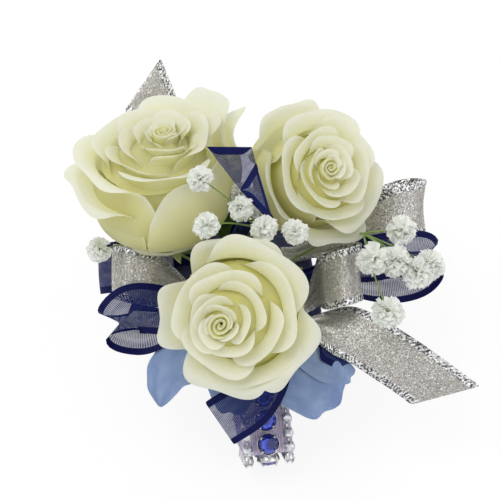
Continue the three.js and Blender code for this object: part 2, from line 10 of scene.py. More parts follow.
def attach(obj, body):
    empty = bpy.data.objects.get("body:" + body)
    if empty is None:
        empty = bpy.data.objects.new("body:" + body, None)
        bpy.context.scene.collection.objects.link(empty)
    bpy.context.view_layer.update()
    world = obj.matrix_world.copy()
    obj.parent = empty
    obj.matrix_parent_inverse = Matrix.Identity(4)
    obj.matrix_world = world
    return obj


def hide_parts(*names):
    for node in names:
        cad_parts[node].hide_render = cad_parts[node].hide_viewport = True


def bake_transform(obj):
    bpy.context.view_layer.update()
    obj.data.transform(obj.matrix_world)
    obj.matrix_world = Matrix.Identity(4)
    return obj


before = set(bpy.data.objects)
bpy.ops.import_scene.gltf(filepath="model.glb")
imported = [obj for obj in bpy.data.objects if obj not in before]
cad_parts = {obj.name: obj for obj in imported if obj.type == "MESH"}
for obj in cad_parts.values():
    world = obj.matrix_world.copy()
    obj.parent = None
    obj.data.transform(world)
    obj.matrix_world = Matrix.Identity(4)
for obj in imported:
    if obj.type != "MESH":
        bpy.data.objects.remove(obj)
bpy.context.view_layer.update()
scene = bpy.context.scene

MM = 0.001  # shapes are drawn in millimetres and made in metres
WELD = 1e-5 * MM
GOLDEN_ANGLE = 2.39996
TURN = 6.28  # the span of a drawn angle
UP = Vector((0, 0, 1))
TO_CAMERA = Vector((-0.086, -0.610, 0.788))
SILVER_WIDTH, NAVY_WIDTH, ELASTIC_WIDTH = 22, 20, 20


def srgb(code):
    """A linear colour from six hex digits."""
    def linear(v):
        return v / 12.92 if v <= 0.04045 else ((v + 0.055) / 1.055) ** 2.4

    return tuple(linear(int(code[i:i + 2], 16) / 255) for i in (0, 2, 4)) + (1.0,)


def mix(a, b, t):
    return a + (b - a) * t


def ease(t):
    t = min(1.0, max(0.0, t))
    return t * t * (3 - 2 * t)


def circle(count):
    """Angles spaced evenly round a circle."""
    return [2 * pi * k / count for k in range(count)]


def bezier(a, b, c, d, t):
    s = 1 - t
    return a * (s * s * s) + b * (3 * s * s * t) + c * (3 * s * t * t) + d * (t * t * t)


def spline(points, t):
    """A point on the centripetal Catmull-Rom curve through points, t from 0 to 1."""
    last = len(points) - 1
    i = min(last - 1, max(0, int(t * last)))
    w = t * last - i
    b, c = points[i], points[i + 1]
    a = points[i - 1] if i else b * 2 - c
    d = points[i + 2] if i + 2 <= last else c * 2 - b
    s1 = max(1e-4, (c - b).length ** 0.5)
    s0 = (b - a).length ** 0.5 or s1
    s2 = (d - c).length ** 0.5 or s1
    start = ((b - a) / s0 - (c - a) / (s0 + s1) + (c - b) / s1) * s1
    end = ((c - b) / s1 - (d - b) / (s1 + s2) + (d - c) / s2) * s1
    w2, w3 = w * w, w * w * w
    near = b * (2 * w3 - 3 * w2 + 1) + start * (w3 - 2 * w2 + w)
    return near + c * (3 * w2 - 2 * w3) + end * (w3 - w2)


def along_spline(points, count):
    return [spline(points, i / count) for i in range(count + 1)]


class Form:
    """Collects one piece's corners and faces, in millimetres, with a UV for each face corner."""

    def __init__(self):
        self.points, self.faces, self.uvs, self.tones = [], [], [], []

    def grid(self, rows, uv=None, ring=False, tone=0.5):
        """Faces over rows of points.

        uv(i, j) gives the UV of row i, column j; ring joins the ends of a row.
        """
        first, wide = len(self.points), len(rows[0])
        uv = uv or (lambda i, j: (j / (wide - 1 + ring), i / (len(rows) - 1)))
        for row in rows:
            self.points.extend(Vector(p) for p in row)
            self.tones.extend([tone] * wide)
        for i in range(len(rows) - 1):
            for j in range(wide - 1 + ring):
                k = (j + 1) % wide
                at = first + i * wide
                self.faces.append((at + j, at + k, at + wide + k, at + wide + j))
                self.uvs.append((uv(i, j), uv(i, j + 1), uv(i + 1, j + 1), uv(i + 1, j)))

    def patch(self, along, across, place, uv=None, tone=0.5):
        """A grid of along by across faces; place(b, a) is its point at those shares of the two."""
        rows = [[place(i / along, j / across) for j in range(across + 1)] for i in range(along + 1)]
        self.grid(rows, uv, tone=tone)

    def lathe(self, place, profile, sides, lobes=0.0, count=4, tone=0.5):
        """A turned wall of (radius, height) points with some shallow lobes, set by place."""
        rows = []
        for radius, height in profile:
            rows.append([])
            for t in circle(sides):
                r = radius * (1 + lobes * cos(count * t))
                rows[-1].append(place((r * cos(t), r * sin(t), height)))
        self.grid(rows, ring=True, tone=tone)

    def face(self, corners, tone):
        first = len(self.points)
        self.points.extend(corners)
        self.tones.extend([tone] * len(corners))
        self.faces.append(tuple(range(first, first + len(corners))))
        self.uvs.append(tuple((0.5, 0.5) for _ in corners))

    def tube(self, line, radius, sides):
        """A closed round tube along a line of points; radius(t) in millimetres."""
        side = (line[1] - line[0]).orthogonal().normalized()
        last = len(line) - 1
        rows = []
        for i, p in enumerate(line):
            along = (line[min(i + 1, last)] - line[max(i - 1, 0)]).normalized()
            side = (side - along * side.dot(along)).normalized()
            across = along.cross(side)
            r = radius(i / last)
            rows.append([
                p + side * (r * cos(a)) + across * (r * sin(a)) for a in circle(sides)])
        self.grid([[line[0]] * sides] + rows + [[line[-1]] * sides], ring=True)

    def make(self, name, material, thickness=0.0, levels=0, shade=True):
        """The finished object, in metres."""
        mesh = bpy.data.meshes.new(name)
        mesh.from_pydata([p * MM for p in self.points], [], self.faces)
        layer = mesh.uv_layers.new(name="UVMap")
        for polygon, uvs in zip(mesh.polygons, self.uvs):
            for loop, uv in zip(polygon.loop_indices, uvs):
                layer.data[loop].uv = uv
        tones = mesh.attributes.new("tone", "FLOAT", "POINT")
        tones.data.foreach_set("value", self.tones)
        made = bpy.data.objects.new(name, mesh)
        scene.collection.objects.link(made)
        weld(mesh)
        mesh.polygons.foreach_set("use_smooth", [shade] * len(mesh.polygons))
        mesh.materials.append(material)
        if thickness:
            solid = made.modifiers.new("thickness", "SOLIDIFY")
            solid.thickness = thickness * MM
            solid.offset = 0.0
        if levels:
            finer = made.modifiers.new("finer", "SUBSURF")
            finer.levels = finer.render_levels = levels
        return made

    def show(self, node, look, slot, body="corsage", ending="_look", **settings):
        """Makes the piece and shows it in place of a CAD node, on that node's body."""
        made = self.make(node + ending, look, **settings)
        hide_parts(node)
        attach(made, body)
        return made


def weld(mesh):
    """Merges corners that lie on each other and drops the faces that this closes up."""
    work = bmesh.new()
    work.from_mesh(mesh)
    bmesh.ops.remove_doubles(work, verts=work.verts, dist=WELD)
    work.to_mesh(mesh)
    work.free()
    mesh.update()


class Nodes:
    """Adds nodes to the tree of a material or world; a colour is six hex digits or a socket."""

    def __init__(self, owner):
        owner.use_nodes = True
        self.tree = owner.node_tree

    def give(self, socket, value):
        if isinstance(value, bpy.types.NodeSocket):
            self.tree.links.new(value, socket)
        else:
            socket.default_value = srgb(value) if isinstance(value, str) else value

    def add(self, kind, inputs=(), **settings):
        made = self.tree.nodes.new("ShaderNode" + kind)
        for key, value in settings.items():
            setattr(made, key, value)
        for key, value in dict(inputs).items():
            self.give(made.inputs[key], value)
        return made

    def math(self, operation, a, b=0.0):
        return self.add("Math", {0: a, 1: b}, operation=operation).outputs[0]

    def plus(self, a, b):
        return self.math("ADD", a, b)

    def minus(self, a, b):
        return self.math("SUBTRACT", a, b)

    def times(self, a, b):
        return self.math("MULTIPLY", a, b)

    def range(self, value, low, high, start=0.0, end=1.0):
        return self.add("MapRange", {0: value, 1: low, 2: high, 3: start, 4: end}).outputs[0]

    def seen(self):
        """1 for what the camera sees, straight or through a clear piece."""
        rays = self.add("LightPath").outputs
        return self.math("MAXIMUM", rays["Is Camera Ray"], rays["Is Transmission Ray"])


class Net(Nodes):
    """A material's nodes around one Principled shader."""

    def __init__(self, name, **shader):
        self.material = bpy.data.materials.new(name)
        super().__init__(self.material)
        self.shader = self.tree.nodes["Principled BSDF"]
        self.out = self.tree.nodes["Material Output"]
        coordinates = self.add("TexCoord").outputs
        self.uv, self.place = coordinates["UV"], coordinates["Object"]
        self.across, self.along = self.axes(self.uv)[:2]
        for key, value in shader.items():
            self.give(self.shader.inputs[key.replace("_", " ")], value)

    def blend(self, factor, a, b):
        return self.add("Mix", {0: factor, 6: a, 7: b}, data_type="RGBA").outputs[2]

    def tint(self, colour, code, value, low, high, share):
        """Mixes in up to a share of a second colour as value goes from low to high."""
        return self.blend(self.range(value, low, high, 0.0, share), colour, code)

    def ramp(self, factor, stops):
        made = self.add("ValToRGB", {0: factor})
        while len(made.color_ramp.elements) < len(stops):
            made.color_ramp.elements.new(0.5)
        for element, (position, code) in zip(made.color_ramp.elements, stops):
            element.position = position
            element.color = srgb(code)
        return made.outputs[0]

    def axes(self, vector):
        return self.add("SeparateXYZ", {0: vector}).outputs

    def scaled(self, vector, *sizes):
        return self.add("Mapping", {"Vector": vector, "Scale": sizes}).outputs[0]

    def noise(self, vector, scale, detail, roughness=0.5):
        inputs = {"Vector": vector, "Scale": scale, "Detail": detail, "Roughness": roughness}
        return self.add("TexNoise", inputs).outputs[0]

    def grain(self, x, y, scale=1.0, detail=3.0, roughness=0.5):
        """Noise over the UVs, stretched by x across and y along."""
        return self.noise(self.scaled(self.uv, x, y, 1.0), scale, detail, roughness)

    def cells(self, x, y):
        """A random colour for each cell over the UVs, as its axes."""
        made = self.add("TexVoronoi", {"Vector": self.scaled(self.uv, x, y, 1.0), "Scale": 1.0})
        return self.axes(made.outputs["Color"])

    def stripes(self, coordinate, period, width, soft):
        """1 on stripes of the given share of the period, 0 between them."""
        wave = self.math("PINGPONG", self.math("DIVIDE", coordinate, period), 0.5)
        return self.range(wave, width / 2 - soft / 2, width / 2 + soft / 2, 1.0, 0.0)

    def edge(self, width):
        """Distance to a ribbon's nearer edge, in centimetres as its UVs are."""
        half = width / 20
        return self.minus(half, self.math("ABSOLUTE", self.minus(self.across, half)))

    def tone(self):
        return self.add("Attribute", attribute_name="tone").outputs["Fac"]

    def bump(self, height, strength, distance):
        inputs = {"Strength": strength, "Distance": distance * MM, "Height": height}
        return self.add("Bump", inputs).outputs[0]

    def surface(self, colour, roughness, normal=None, alpha=None, through=0.0):
        """Joins the parts of the look; through is the share of light that goes through it."""
        parts = {"Base Color": colour, "Roughness": roughness, "Normal": normal, "Alpha": alpha}
        for key, value in parts.items():
            if value is not None:
                self.give(self.shader.inputs[key], value)
        if through:
            far = self.add("BsdfTranslucent", {0: colour, 1: normal}).outputs[0]
            self.mixed(through, far)
        return self.material

    def mixed(self, share, other):
        """Shows a share of another shader in place of the Principled one."""
        both = self.add("MixShader", {0: share, 1: self.shader.outputs[0], 2: other})
        self.tree.links.new(both.outputs[0], self.out.inputs[0])


def petal_material():
    """Cream rose petals: greenish at the claw, yellow in the depths, white at the rim; the yellow of the
    creases and the white of the rims are partly the petal's own colour and partly painted shading and
    light.
    """
    net = Net(
        "rose_petal", Roughness=0.5, Specular_IOR_Level=0.25, Sheen_Weight=0.08,
        Sheen_Roughness=0.4)
    # Colour by place along the petal: the yellow creases and whiter rims are partly painted shading, not
    # only the petal's own colour.
    colour = net.ramp(net.along, [
        (0.0, "d0d68a"), (0.6, "e9e386"), (0.78, "eeea9e"), (0.88, "eeedc6"), (0.96, "efefe0"),
        (1.0, "f0f0e6")])
    colour = net.tint(colour, "e7e9dc", net.tone(), 0.0, 1.0, 0.45)
    veins = net.grain(46.0, 2.4, 1.0, 4.0, 0.6)
    patches = net.grain(2.2, 2.6, 1.3, 2.0)
    colour = net.tint(colour, "dedcae", veins, 0.35, 0.7, 0.12)
    colour = net.tint(colour, "eaebd4", patches, 0.4, 0.75, 0.25)
    rough = net.range(veins, 0.3, 0.7, 0.44, 0.6)
    return net.surface(colour, rough, net.bump(veins, 0.3, 0.2), through=0.45)


def silver_material(width):
    """Metallic lamé with a fine glitter of painted glints, and threads along both edges painted bright
    and dark as glints.
    """
    net = Net("silver_ribbon_%d" % width, Metallic=0.5, Specular_IOR_Level=0.5)
    edge = net.edge(width)
    # Painted glints: each small cell gets its own brightness, from grey up to near-white.
    glint_cells = net.cells(26.0, 32.0)[0]
    weave = net.grain(9.0, 40.0)
    body = net.ramp(glint_cells, [(0.0, "7f7c79"), (0.4, "a6a39e"), (0.8, "c2bfba"), (1.0, "fbfaf6")])
    body = net.tint(body, "9c9893", weave, 0.35, 0.7, 0.3)
    # Painted glints on the edge threads, from dark grey up to white.
    edge_glint_cells = net.cells(15.0, 21.0)[1]
    slant = net.plus(net.along, net.times(edge, 0.45))
    slant = net.plus(slant, net.times(net.noise(net.uv, 9.0, 2.0), 0.16))
    rungs = net.stripes(slant, 0.13, 0.5, 0.3)
    threads = net.plus(net.times(edge_glint_cells, 0.72), net.times(rungs, 0.28))
    edge_thread_glints = net.ramp(threads, [
        (0.2, "3d3e45"), (0.42, "86868a"), (0.62, "d6d6d4"), (0.85, "ffffff")])
    border = net.range(edge, 0.29, 0.33, 1.0, 0.0)
    colour = net.blend(border, body, edge_thread_glints)
    shine = net.range(threads, 0.2, 0.9, 0.45, 0.16)
    rough = net.blend(border, net.range(glint_cells, 0.0, 1.0, 0.5, 0.24), shine)
    height = net.plus(net.times(glint_cells, 0.5), net.times(net.times(threads, border), 1.6))
    return net.surface(colour, rough, net.bump(height, 0.6, 0.2))


def navy_material(width):
    """Sheer ribbon: fine open threads between two satin edges."""
    net = Net("navy_ribbon_%d" % width, Specular_IOR_Level=0.12)
    satin = net.range(net.edge(width), 0.26, 0.28, 1.0, 0.0)
    warp = net.stripes(net.across, 0.046, 0.45, 0.3)
    weft = net.stripes(net.along, 0.05, 0.45, 0.3)
    threads = net.math("MAXIMUM", warp, weft)
    slub = net.range(net.grain(4.0, 1.2), 0.3, 0.7, 0.88, 1.1)
    cover = net.times(net.range(threads, 0.0, 1.0, 0.4, 0.94), slub)
    alpha = net.math("MAXIMUM", satin, net.math("MINIMUM", cover, 1.0))
    twill = net.stripes(net.plus(net.along, net.across), 0.035, 0.5, 0.4)
    band = net.tint("03083c", "0a1560", twill, 0.0, 1.0, 0.4)
    gauze = net.blend(weft, "0e164c", "1a2766")
    colour = net.blend(satin, gauze, band)
    rough = net.range(satin, 0.0, 1.0, 0.65, 0.45)
    ridges = net.times(satin, net.plus(0.6, net.times(twill, 0.25)))
    height = net.plus(net.times(threads, 0.5), ridges)
    return net.surface(colour, rough, net.bump(height, 0.5, 0.2), alpha)


def fabric_material():
    """Powder-blue ribbed fabric of the leaves, thin enough to let some light through."""
    net = Net(
        "blue_fabric", Roughness=0.75, Specular_IOR_Level=0.25, Sheen_Weight=0.3,
        Sheen_Roughness=0.5)
    ribs = net.stripes(net.across, 0.034, 0.5, 0.5)
    weave = net.stripes(net.along, 0.022, 0.5, 0.5)
    mottle = net.grain(3.0, 3.0, 1.2)
    colour = net.ramp(mottle, [(0.25, "6c86b8"), (0.5, "88a0cc"), (0.75, "a8bde0")])
    colour = net.tint(colour, "6d84b4", ribs, 0.0, 1.0, 0.3)
    # Painted light: a piece with a higher tone is painted lighter, as if lit, and one with a lower tone
    # darker, as if shaded.
    colour = net.tint(colour, "a9bcdc", net.tone(), 0.0, 1.0, 0.5)
    height = net.plus(ribs, net.times(weave, 0.4))
    return net.surface(colour, 0.75, net.bump(height, 0.5, 0.18), through=0.22)


def leaf_material(name, dark, light, vein):
    """A leaf with a pale midrib and side veins."""
    net = Net(name, Specular_IOR_Level=0.4)
    side = net.math("ABSOLUTE", net.minus(net.across, 0.5))
    veins = net.stripes(net.minus(net.along, net.times(side, 0.7)), 0.11, 0.16, 0.14)
    rib = net.range(side, 0.012, 0.05, 1.0, 0.0)
    lines = net.math("MAXIMUM", rib, net.times(veins, 0.45))
    mottle = net.grain(3.0, 5.0, 1.5, 4.0)
    colour = net.ramp(mottle, [(0.3, dark), (0.7, light)])
    colour = net.blend(net.times(lines, 0.6), colour, vein)
    colour = net.tint(colour, vein, net.tone(), 0.0, 1.0, 0.7)
    height = net.minus(net.times(mottle, 0.3), lines)
    rough = net.range(mottle, 0.3, 0.7, 0.38, 0.55)
    return net.surface(colour, rough, net.bump(height, 0.6, 0.3), through=0.12)


def stem_material(name, base, light, winding):
    """Taped or bare stems: fibres along the stem, and wound creases across it that are darkened with
    painted shade.
    """
    net = Net(name, Specular_IOR_Level=0.35)
    fibres = net.grain(22.0, 5.0)
    wound = net.stripes(net.plus(net.along, net.times(net.across, winding)), winding, 0.2, 0.3)
    colour = net.blend(net.range(fibres, 0.3, 0.7), base, light)
    # Painted shade: the wound creases are darkened towards the base colour.
    colour = net.blend(net.times(wound, 0.35), colour, base)
    rough = net.range(fibres, 0.3, 0.7, 0.5, 0.7)
    return net.surface(colour, rough, net.bump(net.minus(fibres, wound), 0.6, 0.25))


def bloom_material():
    """White baby's breath petals, a little green in their depths."""
    net = Net("babys_breath_petal", Specular_IOR_Level=0.25, Sheen_Weight=0.1)
    veins = net.grain(7.0, 1.5, 1.0, 2.0)
    colour = net.ramp(net.along, [(0.0, "ebf0dc"), (0.3, "f8faf5"), (1.0, "fbfcfa")])
    colour = net.tint(colour, "ebeee8", veins, 0.4, 0.7, 0.2)
    colour = net.tint(colour, "dde3d6", net.tone(), 0.0, 1.0, 0.15)
    rough = net.range(veins, 0.3, 0.7, 0.5, 0.65)
    return net.surface(colour, rough, net.bump(veins, 0.3, 0.12), through=0.48)


def stone_material(name, dark, middle, light):
    """A foil-backed cut stone; each facet has its own tone, a painted reflection from dark to light."""
    net = Net(name, Metallic=0.35, Specular_IOR_Level=0.9, Coat_Weight=1.0, Coat_Roughness=0.03)
    depth = net.noise(net.place, 420.0, 2.0)
    # Painted reflections: a facet's tone, with a little noise, picks its colour from dark to light.
    mixed = net.plus(net.times(net.tone(), 0.8), net.times(depth, 0.2))
    colour = net.ramp(mixed, [(0.12, dark), (0.45, middle), (0.8, light)])
    return net.surface(colour, net.range(depth, 0.3, 0.7, 0.04, 0.12))


def metal_material():
    """Silver-plated cups and prongs with fine rubbing marks."""
    net = Net("plated_metal", Metallic=1.0)
    marks = net.noise(net.scaled(net.place, 900.0, 300.0, 900.0), 1.0, 4.0)
    worn = net.noise(net.place, 260.0, 2.0)
    colour = net.ramp(worn, [(0.3, "a3a4a8"), (0.55, "cfd0d2"), (0.75, "e4e4e2")])
    return net.surface(colour, net.range(marks, 0.3, 0.7, 0.12, 0.34), net.bump(marks, 0.2, 0.05))


def elastic_material():
    """Lilac translucent elastic: rubber cords along it, with thinner film between."""
    net = Net("lilac_elastic", Specular_IOR_Level=0.5)
    cords = net.stripes(net.across, 0.1, 0.55, 0.4)
    knit = net.stripes(net.along, 0.07, 0.5, 0.5)
    cloud = net.noise(net.uv, 3.0, 3.0)
    colour = net.blend(net.range(cloud, 0.3, 0.7), "c3b3dc", "ded3ee")
    colour = net.blend(net.times(cords, 0.35), colour, "efe9f6")
    height = net.plus(cords, net.times(knit, 0.35))
    rough, alpha = net.range(cloud, 0.3, 0.7, 0.3, 0.45), net.range(cords, 0.0, 1.0, 0.62, 0.88)
    return net.surface(colour, rough, net.bump(height, 0.5, 0.2), alpha)


def felt_material():
    """Navy felt: matted fibres."""
    net = Net("navy_felt", Specular_IOR_Level=0.2, Sheen_Weight=0.4, Sheen_Roughness=0.6)
    fibres = net.noise(net.scaled(net.place, 1500.0, 700.0, 1500.0), 1.0, 5.0, 0.7)
    matted = net.noise(net.place, 320.0, 4.0)
    colour = net.blend(net.range(matted, 0.3, 0.7), "172148", "26346a")
    colour = net.tint(colour, "3a4880", fibres, 0.5, 0.75, 0.4)
    rough = net.range(fibres, 0.3, 0.7, 0.8, 0.95)
    return net.surface(colour, rough, net.bump(net.plus(fibres, matted), 0.7, 0.3))


def build_world():
    """White surroundings, a little dimmer as a light than as a background."""
    scene.world = bpy.data.worlds.new("studio")
    nodes = Nodes(scene.world)
    background = nodes.tree.nodes["Background"].inputs
    nodes.give(background["Color"], "ffffff")
    nodes.give(background["Strength"], nodes.range(nodes.seen(), 0.0, 1.0, 0.8, 1.0))


def build_floor():
    """The pale floor, which looks almost white and still takes shadows."""
    form = Form()
    form.grid([[(x * 250, y * 250, 0) for x in range(-8, 9)] for y in range(-8, 9)])
    net = Net("pale_floor", Roughness=0.9, Specular_IOR_Level=0.1)
    paper = net.noise(net.place, 90.0, 4.0)
    net.surface(net.blend(net.range(paper, 0.3, 0.7), "f4f4f4", "f8f8f8"), 0.9)
    glossy = net.add("LightPath").outputs["Is Glossy Ray"]
    share = net.times(net.math("MAXIMUM", net.seen(), glossy), 0.86)
    net.mixed(share, net.add("Emission", {"Color": "ffffff", "Strength": 1.0}).outputs[0])
    floor = form.make("floor", net.material)
    floor.location.z = -0.0005


# Lamps: place and size in metres, power in watts.
LAMPS = {
    "key": ((-0.5, -0.1, 1.3), 0.8, 6.4),
    "fill": ((0.95, -0.75, 0.85), 1.0, 2.8),
    "back": ((0.15, 1.1, 0.9), 0.9, 2.4),
}
LAMP_TARGET = Vector((0, 0.03, 0.06))
CAMERA_TARGET = Vector((0.0025, 0.0345, 0.060))
CAMERA_DISTANCE = 0.9


def build_stage():
    """The studio, with the camera at the photograph's angle."""
    scene.view_settings.view_transform = "Standard"
    build_world()
    build_floor()
    for name, (place, size, power) in LAMPS.items():
        lamp = bpy.data.lights.new(name, "AREA")
        lamp.size = size
        lamp.energy = power
        aim(bpy.data.objects.new(name, lamp), Vector(place), LAMP_TARGET - Vector(place))
    lens = bpy.data.cameras.new("view")
    lens.sensor_width = 36
    lens.lens = 162
    away = TO_CAMERA.normalized()
    view = bpy.data.objects.new("view", lens)
    scene.camera = aim(view, CAMERA_TARGET + away * CAMERA_DISTANCE, -away)


def aim(made, place, direction):
    """Sets a lamp or camera at a place, looking in a direction."""
    scene.collection.objects.link(made)
    made.location = place
    made.rotation_euler = direction.to_track_quat("-Z", "Y").to_euler()
    return made


PETAL = petal_material()
SILVER = silver_material(SILVER_WIDTH)
NAVY = navy_material(NAVY_WIDTH)
FABRIC = fabric_material()
DARK_LEAF = leaf_material("dark_leaf", "2c4a1e", "46682f", "7d955a")
OLIVE_LEAF = leaf_material("olive_leaf", "7c7f45", "9b9a5c", "bdb981")
SEPAL = leaf_material("sepal", "6f8a44", "94a85c", "c6cf92")
TAPE = stem_material("stem_tape", "4f6b3a", "7d9558", 0.16)
TWIG = stem_material("green_twig", "5f7a3c", "8da35c", 0.4)
BLOOM = bloom_material()
# The stones' dark, middle and light colours are painted reflections, picked per facet by its tone.
SAPPHIRE = stone_material("sapphire", "04093e", "0d1c9c", "3d5df0")
CLEAR = stone_material("clear_stone", "4c4c55", "b9bac4", "fbfbff")
METAL = metal_material()
ELASTIC = elastic_material()
FELT = felt_material()
build_stage()

PROFILE_STEPS = 40
PETAL_ACROSS, PETAL_ALONG, PETAL_CROWDING = 16, 24, 0.8


def petal_profile(foot, neck, lip, flat, curl, roll):
    """Points (radius, height) up a petal's wall, out to the lip and over the rim, evenly spaced.

    flat is how far the lip leans over; the rim rolls outward, or inward if curl is negative.
    """
    low, top = Vector(neck), Vector(lip)
    bulge, throat = Vector((low.x * 1.22, low.y * 0.04)), Vector((low.x * 1.14, low.y * 0.72))
    wall = Vector((foot, 0.6)), bulge, throat, low
    line = [bezier(*wall, i / 16) for i in range(16)]
    span = (top - low).length
    ahead = Vector((flat, sqrt(1 - flat * flat)))
    flare = low, low + Vector((-0.16, 0.46)) * span, top - ahead * (0.45 * span), top
    line += [bezier(*flare, i / 10) for i in range(11)]
    out = Vector((ahead.y, -ahead.x))
    for i in range(1, 11):
        angle = roll * i / 10
        rise, fall = abs(curl) * sin(angle), curl * (1 - cos(angle))
        line.append(top + ahead * rise + out * fall)
    reach = [0.0]
    for p, q in zip(line, line[1:]):
        reach.append(reach[-1] + (q - p).length)
    made, k = [], 0
    for i in range(PROFILE_STEPS + 1):
        want = reach[-1] * i / PROFILE_STEPS
        while k < len(line) - 2 and reach[k + 1] < want:
            k += 1
        t = (want - reach[k]) / max(1e-6, reach[k + 1] - reach[k])
        made.append(line[k].lerp(line[k + 1], t))
    return made


def petal(form, turn, foot, neck, lip, flat, spread, curl, roll, slope, tone, seed, point=0.0):
    """One petal round the flower's axis, its rim rolled back most at the two shoulders.

    slope leans it against its neighbour, and point narrows its tip.
    """
    draw = random.Random(seed).uniform
    wave, shift = draw(0.4, 0.9), draw(0, TURN)
    lean, lift = draw(-0.25, 0.25), draw(-0.8, 0.6)
    tilt = draw(-1.0, 1.0)
    rows = [[] for _ in range(PETAL_ALONG + 1)]
    for j in range(PETAL_ACROSS + 1):
        a = 2 * j / PETAL_ACROSS - 1
        side = abs(a)
        shoulder = exp(-((side - 0.55) / 0.3) ** 2)
        line = petal_profile(
            foot, neck, (lip[0], lip[1] + lift * side + tilt * a), flat,
            curl * (0.8 + 0.4 * shoulder), roll * (0.62 + 0.48 * shoulder))
        for i, row in enumerate(rows):
            b = (i / PETAL_ALONG) ** PETAL_CROWDING
            at = b * (1 - 0.07 * side ** 2 - 0.25 * side ** 6 - point * side) * PROFILE_STEPS
            k = min(PROFILE_STEPS - 1, int(at))
            p = line[k].lerp(line[k + 1], at - k)
            wide = 0.3 + 0.7 * sin(pi / 2 * min(1, b * 1.7)) - 0.05 * ease((b - 0.7) / 0.3)
            angle = turn + spread * (a + lean * 0.12 * b) * wide
            ripple = wave * ease((b - 0.55) / 0.45)
            crinkle = 0.014 * lip[0] * ease((b - 0.8) / 0.2)
            radius = p.x + slope * spread * a * wide * ease(b * 1.6)
            radius += 0.45 * ripple * sin(3.4 * a + shift)
            radius += crinkle * sin(8.3 * a + 2.3 * shift)
            height = p.y + 0.7 * ripple * sin(4.1 * a + 1.7 * shift)
            height += crinkle * sin(10.7 * a + 3.1 * shift)
            row.append(Vector((radius * cos(angle), radius * sin(angle), height)))
    form.grid(
        rows, uv=lambda i, j: (j / PETAL_ACROSS, (i / PETAL_ALONG) ** PETAL_CROWDING), tone=tone)


# Across the furled heart's fold: step from the lip's radius, from its height, place along a petal.
HEART_FOLD = (
    (-1.25, -2.7, 0.7), (-0.95, -1.6, 0.76), (-0.5, -0.6, 0.84), (0.0, 0.0, 0.93), (0.35, -0.2, 0.93),
    (0.55, -1.0, 0.88), (0.5, -2.7, 0.78), (0.3, -6.0, 0.7), (-0.4, -16.0, 0.5))
HEART_TURNS, HEART_STEPS = 2.7, 110


def wound_heart(form, seed):
    """The furled heart: one petal wound round itself in a spiral, its rim rolled outward."""
    bend = random.Random(seed).uniform(0, TURN)
    rows = []
    for j in range(HEART_STEPS + 1):
        t = j / HEART_STEPS
        angle = bend + 2 * pi * HEART_TURNS * t
        lip = 0.35 + 4.9 * t + 0.25 * sin(2 * angle)
        top = 43.2 + 0.9 * t + 0.35 * sin(3 * angle + bend) - 2.4 * ease((t - 0.88) / 0.12)
        across, along = cos(angle), sin(angle)
        rows.append([
            Vector(((lip + dr) * across, (lip + dr) * along, top + dz)) for dr, dz, _ in HEART_FOLD])
    form.grid(rows, uv=lambda i, j: (i / HEART_STEPS, HEART_FOLD[j][2]), tone=0.0)


# The places of a rose's petals in each whorl, counted outward from the heart.
WHORLS = {"inner_petals": (0, 5), "middle_petals": (5, 10), "outer_petals": (10, 17)}
LAST_PETAL = 16
FILLING_ROWS, FILLING_SIDES = 12, 60

# A rose: its size and spin; its base and axis; its heart's shift; the direction in degrees in which
# it lies open, and by how much; the fall of its lips; how far out the filling between its petals
# goes, and the filling's place along a petal's colours; its stem's points on the pad; and its guard
# petals, each a direction, the lip's radius and height, half spread and roll in degrees, curl,
# point, and the neck's radius as a share of the lip's.
Rose = namedtuple("Rose", "size spin base axis heart lies open fall filling stem guards")
ROSES = {
    "front": Rose(
        0.97, 0.3, (-3.1, 4.9, 61.6), (-0.198, -0.661, 0.724), (-5.8, -0.8), -40, 0.05, 11.5,
        (0.92, 0.72), ((2, 25), (2.5, 36)), [
            (-48, 28.6, 31, 50, 105, 2.8, 0.0, 0.78), (-112, 28.4, 31, 52, 100, 2.6, 0.0, 0.74),
            (80, 28.5, 27, 56, 100, 2.6, 0.0, 0.82), (169, 29.4, 30, 38, 95, 2.4, 0.0, 0.8)]),
    "right": Rose(
        0.87, 1.1, (23.5, 55.7, 71.3), (0.378, -0.475, 0.794), (-3.5, 0.0), -60, 0.04, 11.0,
        (0.8, 0.74), ((11, 58), (7, 47)), [
            (116, 33, 21, 44, 95, 2.6, 0.0, 0.82), (-78, 30, 28, 46, 100, 2.6, 0.0, 0.82),
            (-160, 28.5, 29, 50, 70, 1.8, 0.0, 0.88)]),
    "left": Rose(
        1.0, 2.65, (-32.2, 45.9, 66), (0.007, 0.263, 0.964), (4.0, 4.6), -165, 0.05, 3.5,
        (0.9, 0.82), ((-10, 43), (-6, 37)), [
            (39, 34.5, 47, 31, 40, 1.6, 0.0, 0.8), (19, 40, 46, 19, 25, 1.2, 0.3, 0.8),
            (-40, 26, 37, 64, 50, 1.0, 0.0, 1.06), (-162, 31, 27, 56, 115, 3.2, 0.0, 0.76),
            (-88, 20, 1.0, 52, 75, -3.0, 0.0, 0.82)]),
}


def place_rose(form, rose):
    """Moves a form from the rose's own axis to its place in the corsage."""
    turn = UP.rotation_difference(Vector(rose.axis))
    form.points = [turn @ p * rose.size + Vector(rose.base) for p in form.points]
    return form


def off_centre(out):
    """The share of the heart's shift that a petal takes, from 1 at the heart to 0.1 outside."""
    return 1 - 0.9 * ease((out - 0.15) / 0.6)


def drift(form, first, rose, share):
    """Shifts the points added since first towards the side on which the rose's heart sits."""
    x, y = rose.heart
    for k in range(first, len(form.points)):
        rise = ease(form.points[k].z / 30)
        form.points[k] += Vector((x * share * rise, y * share * rise, 0))


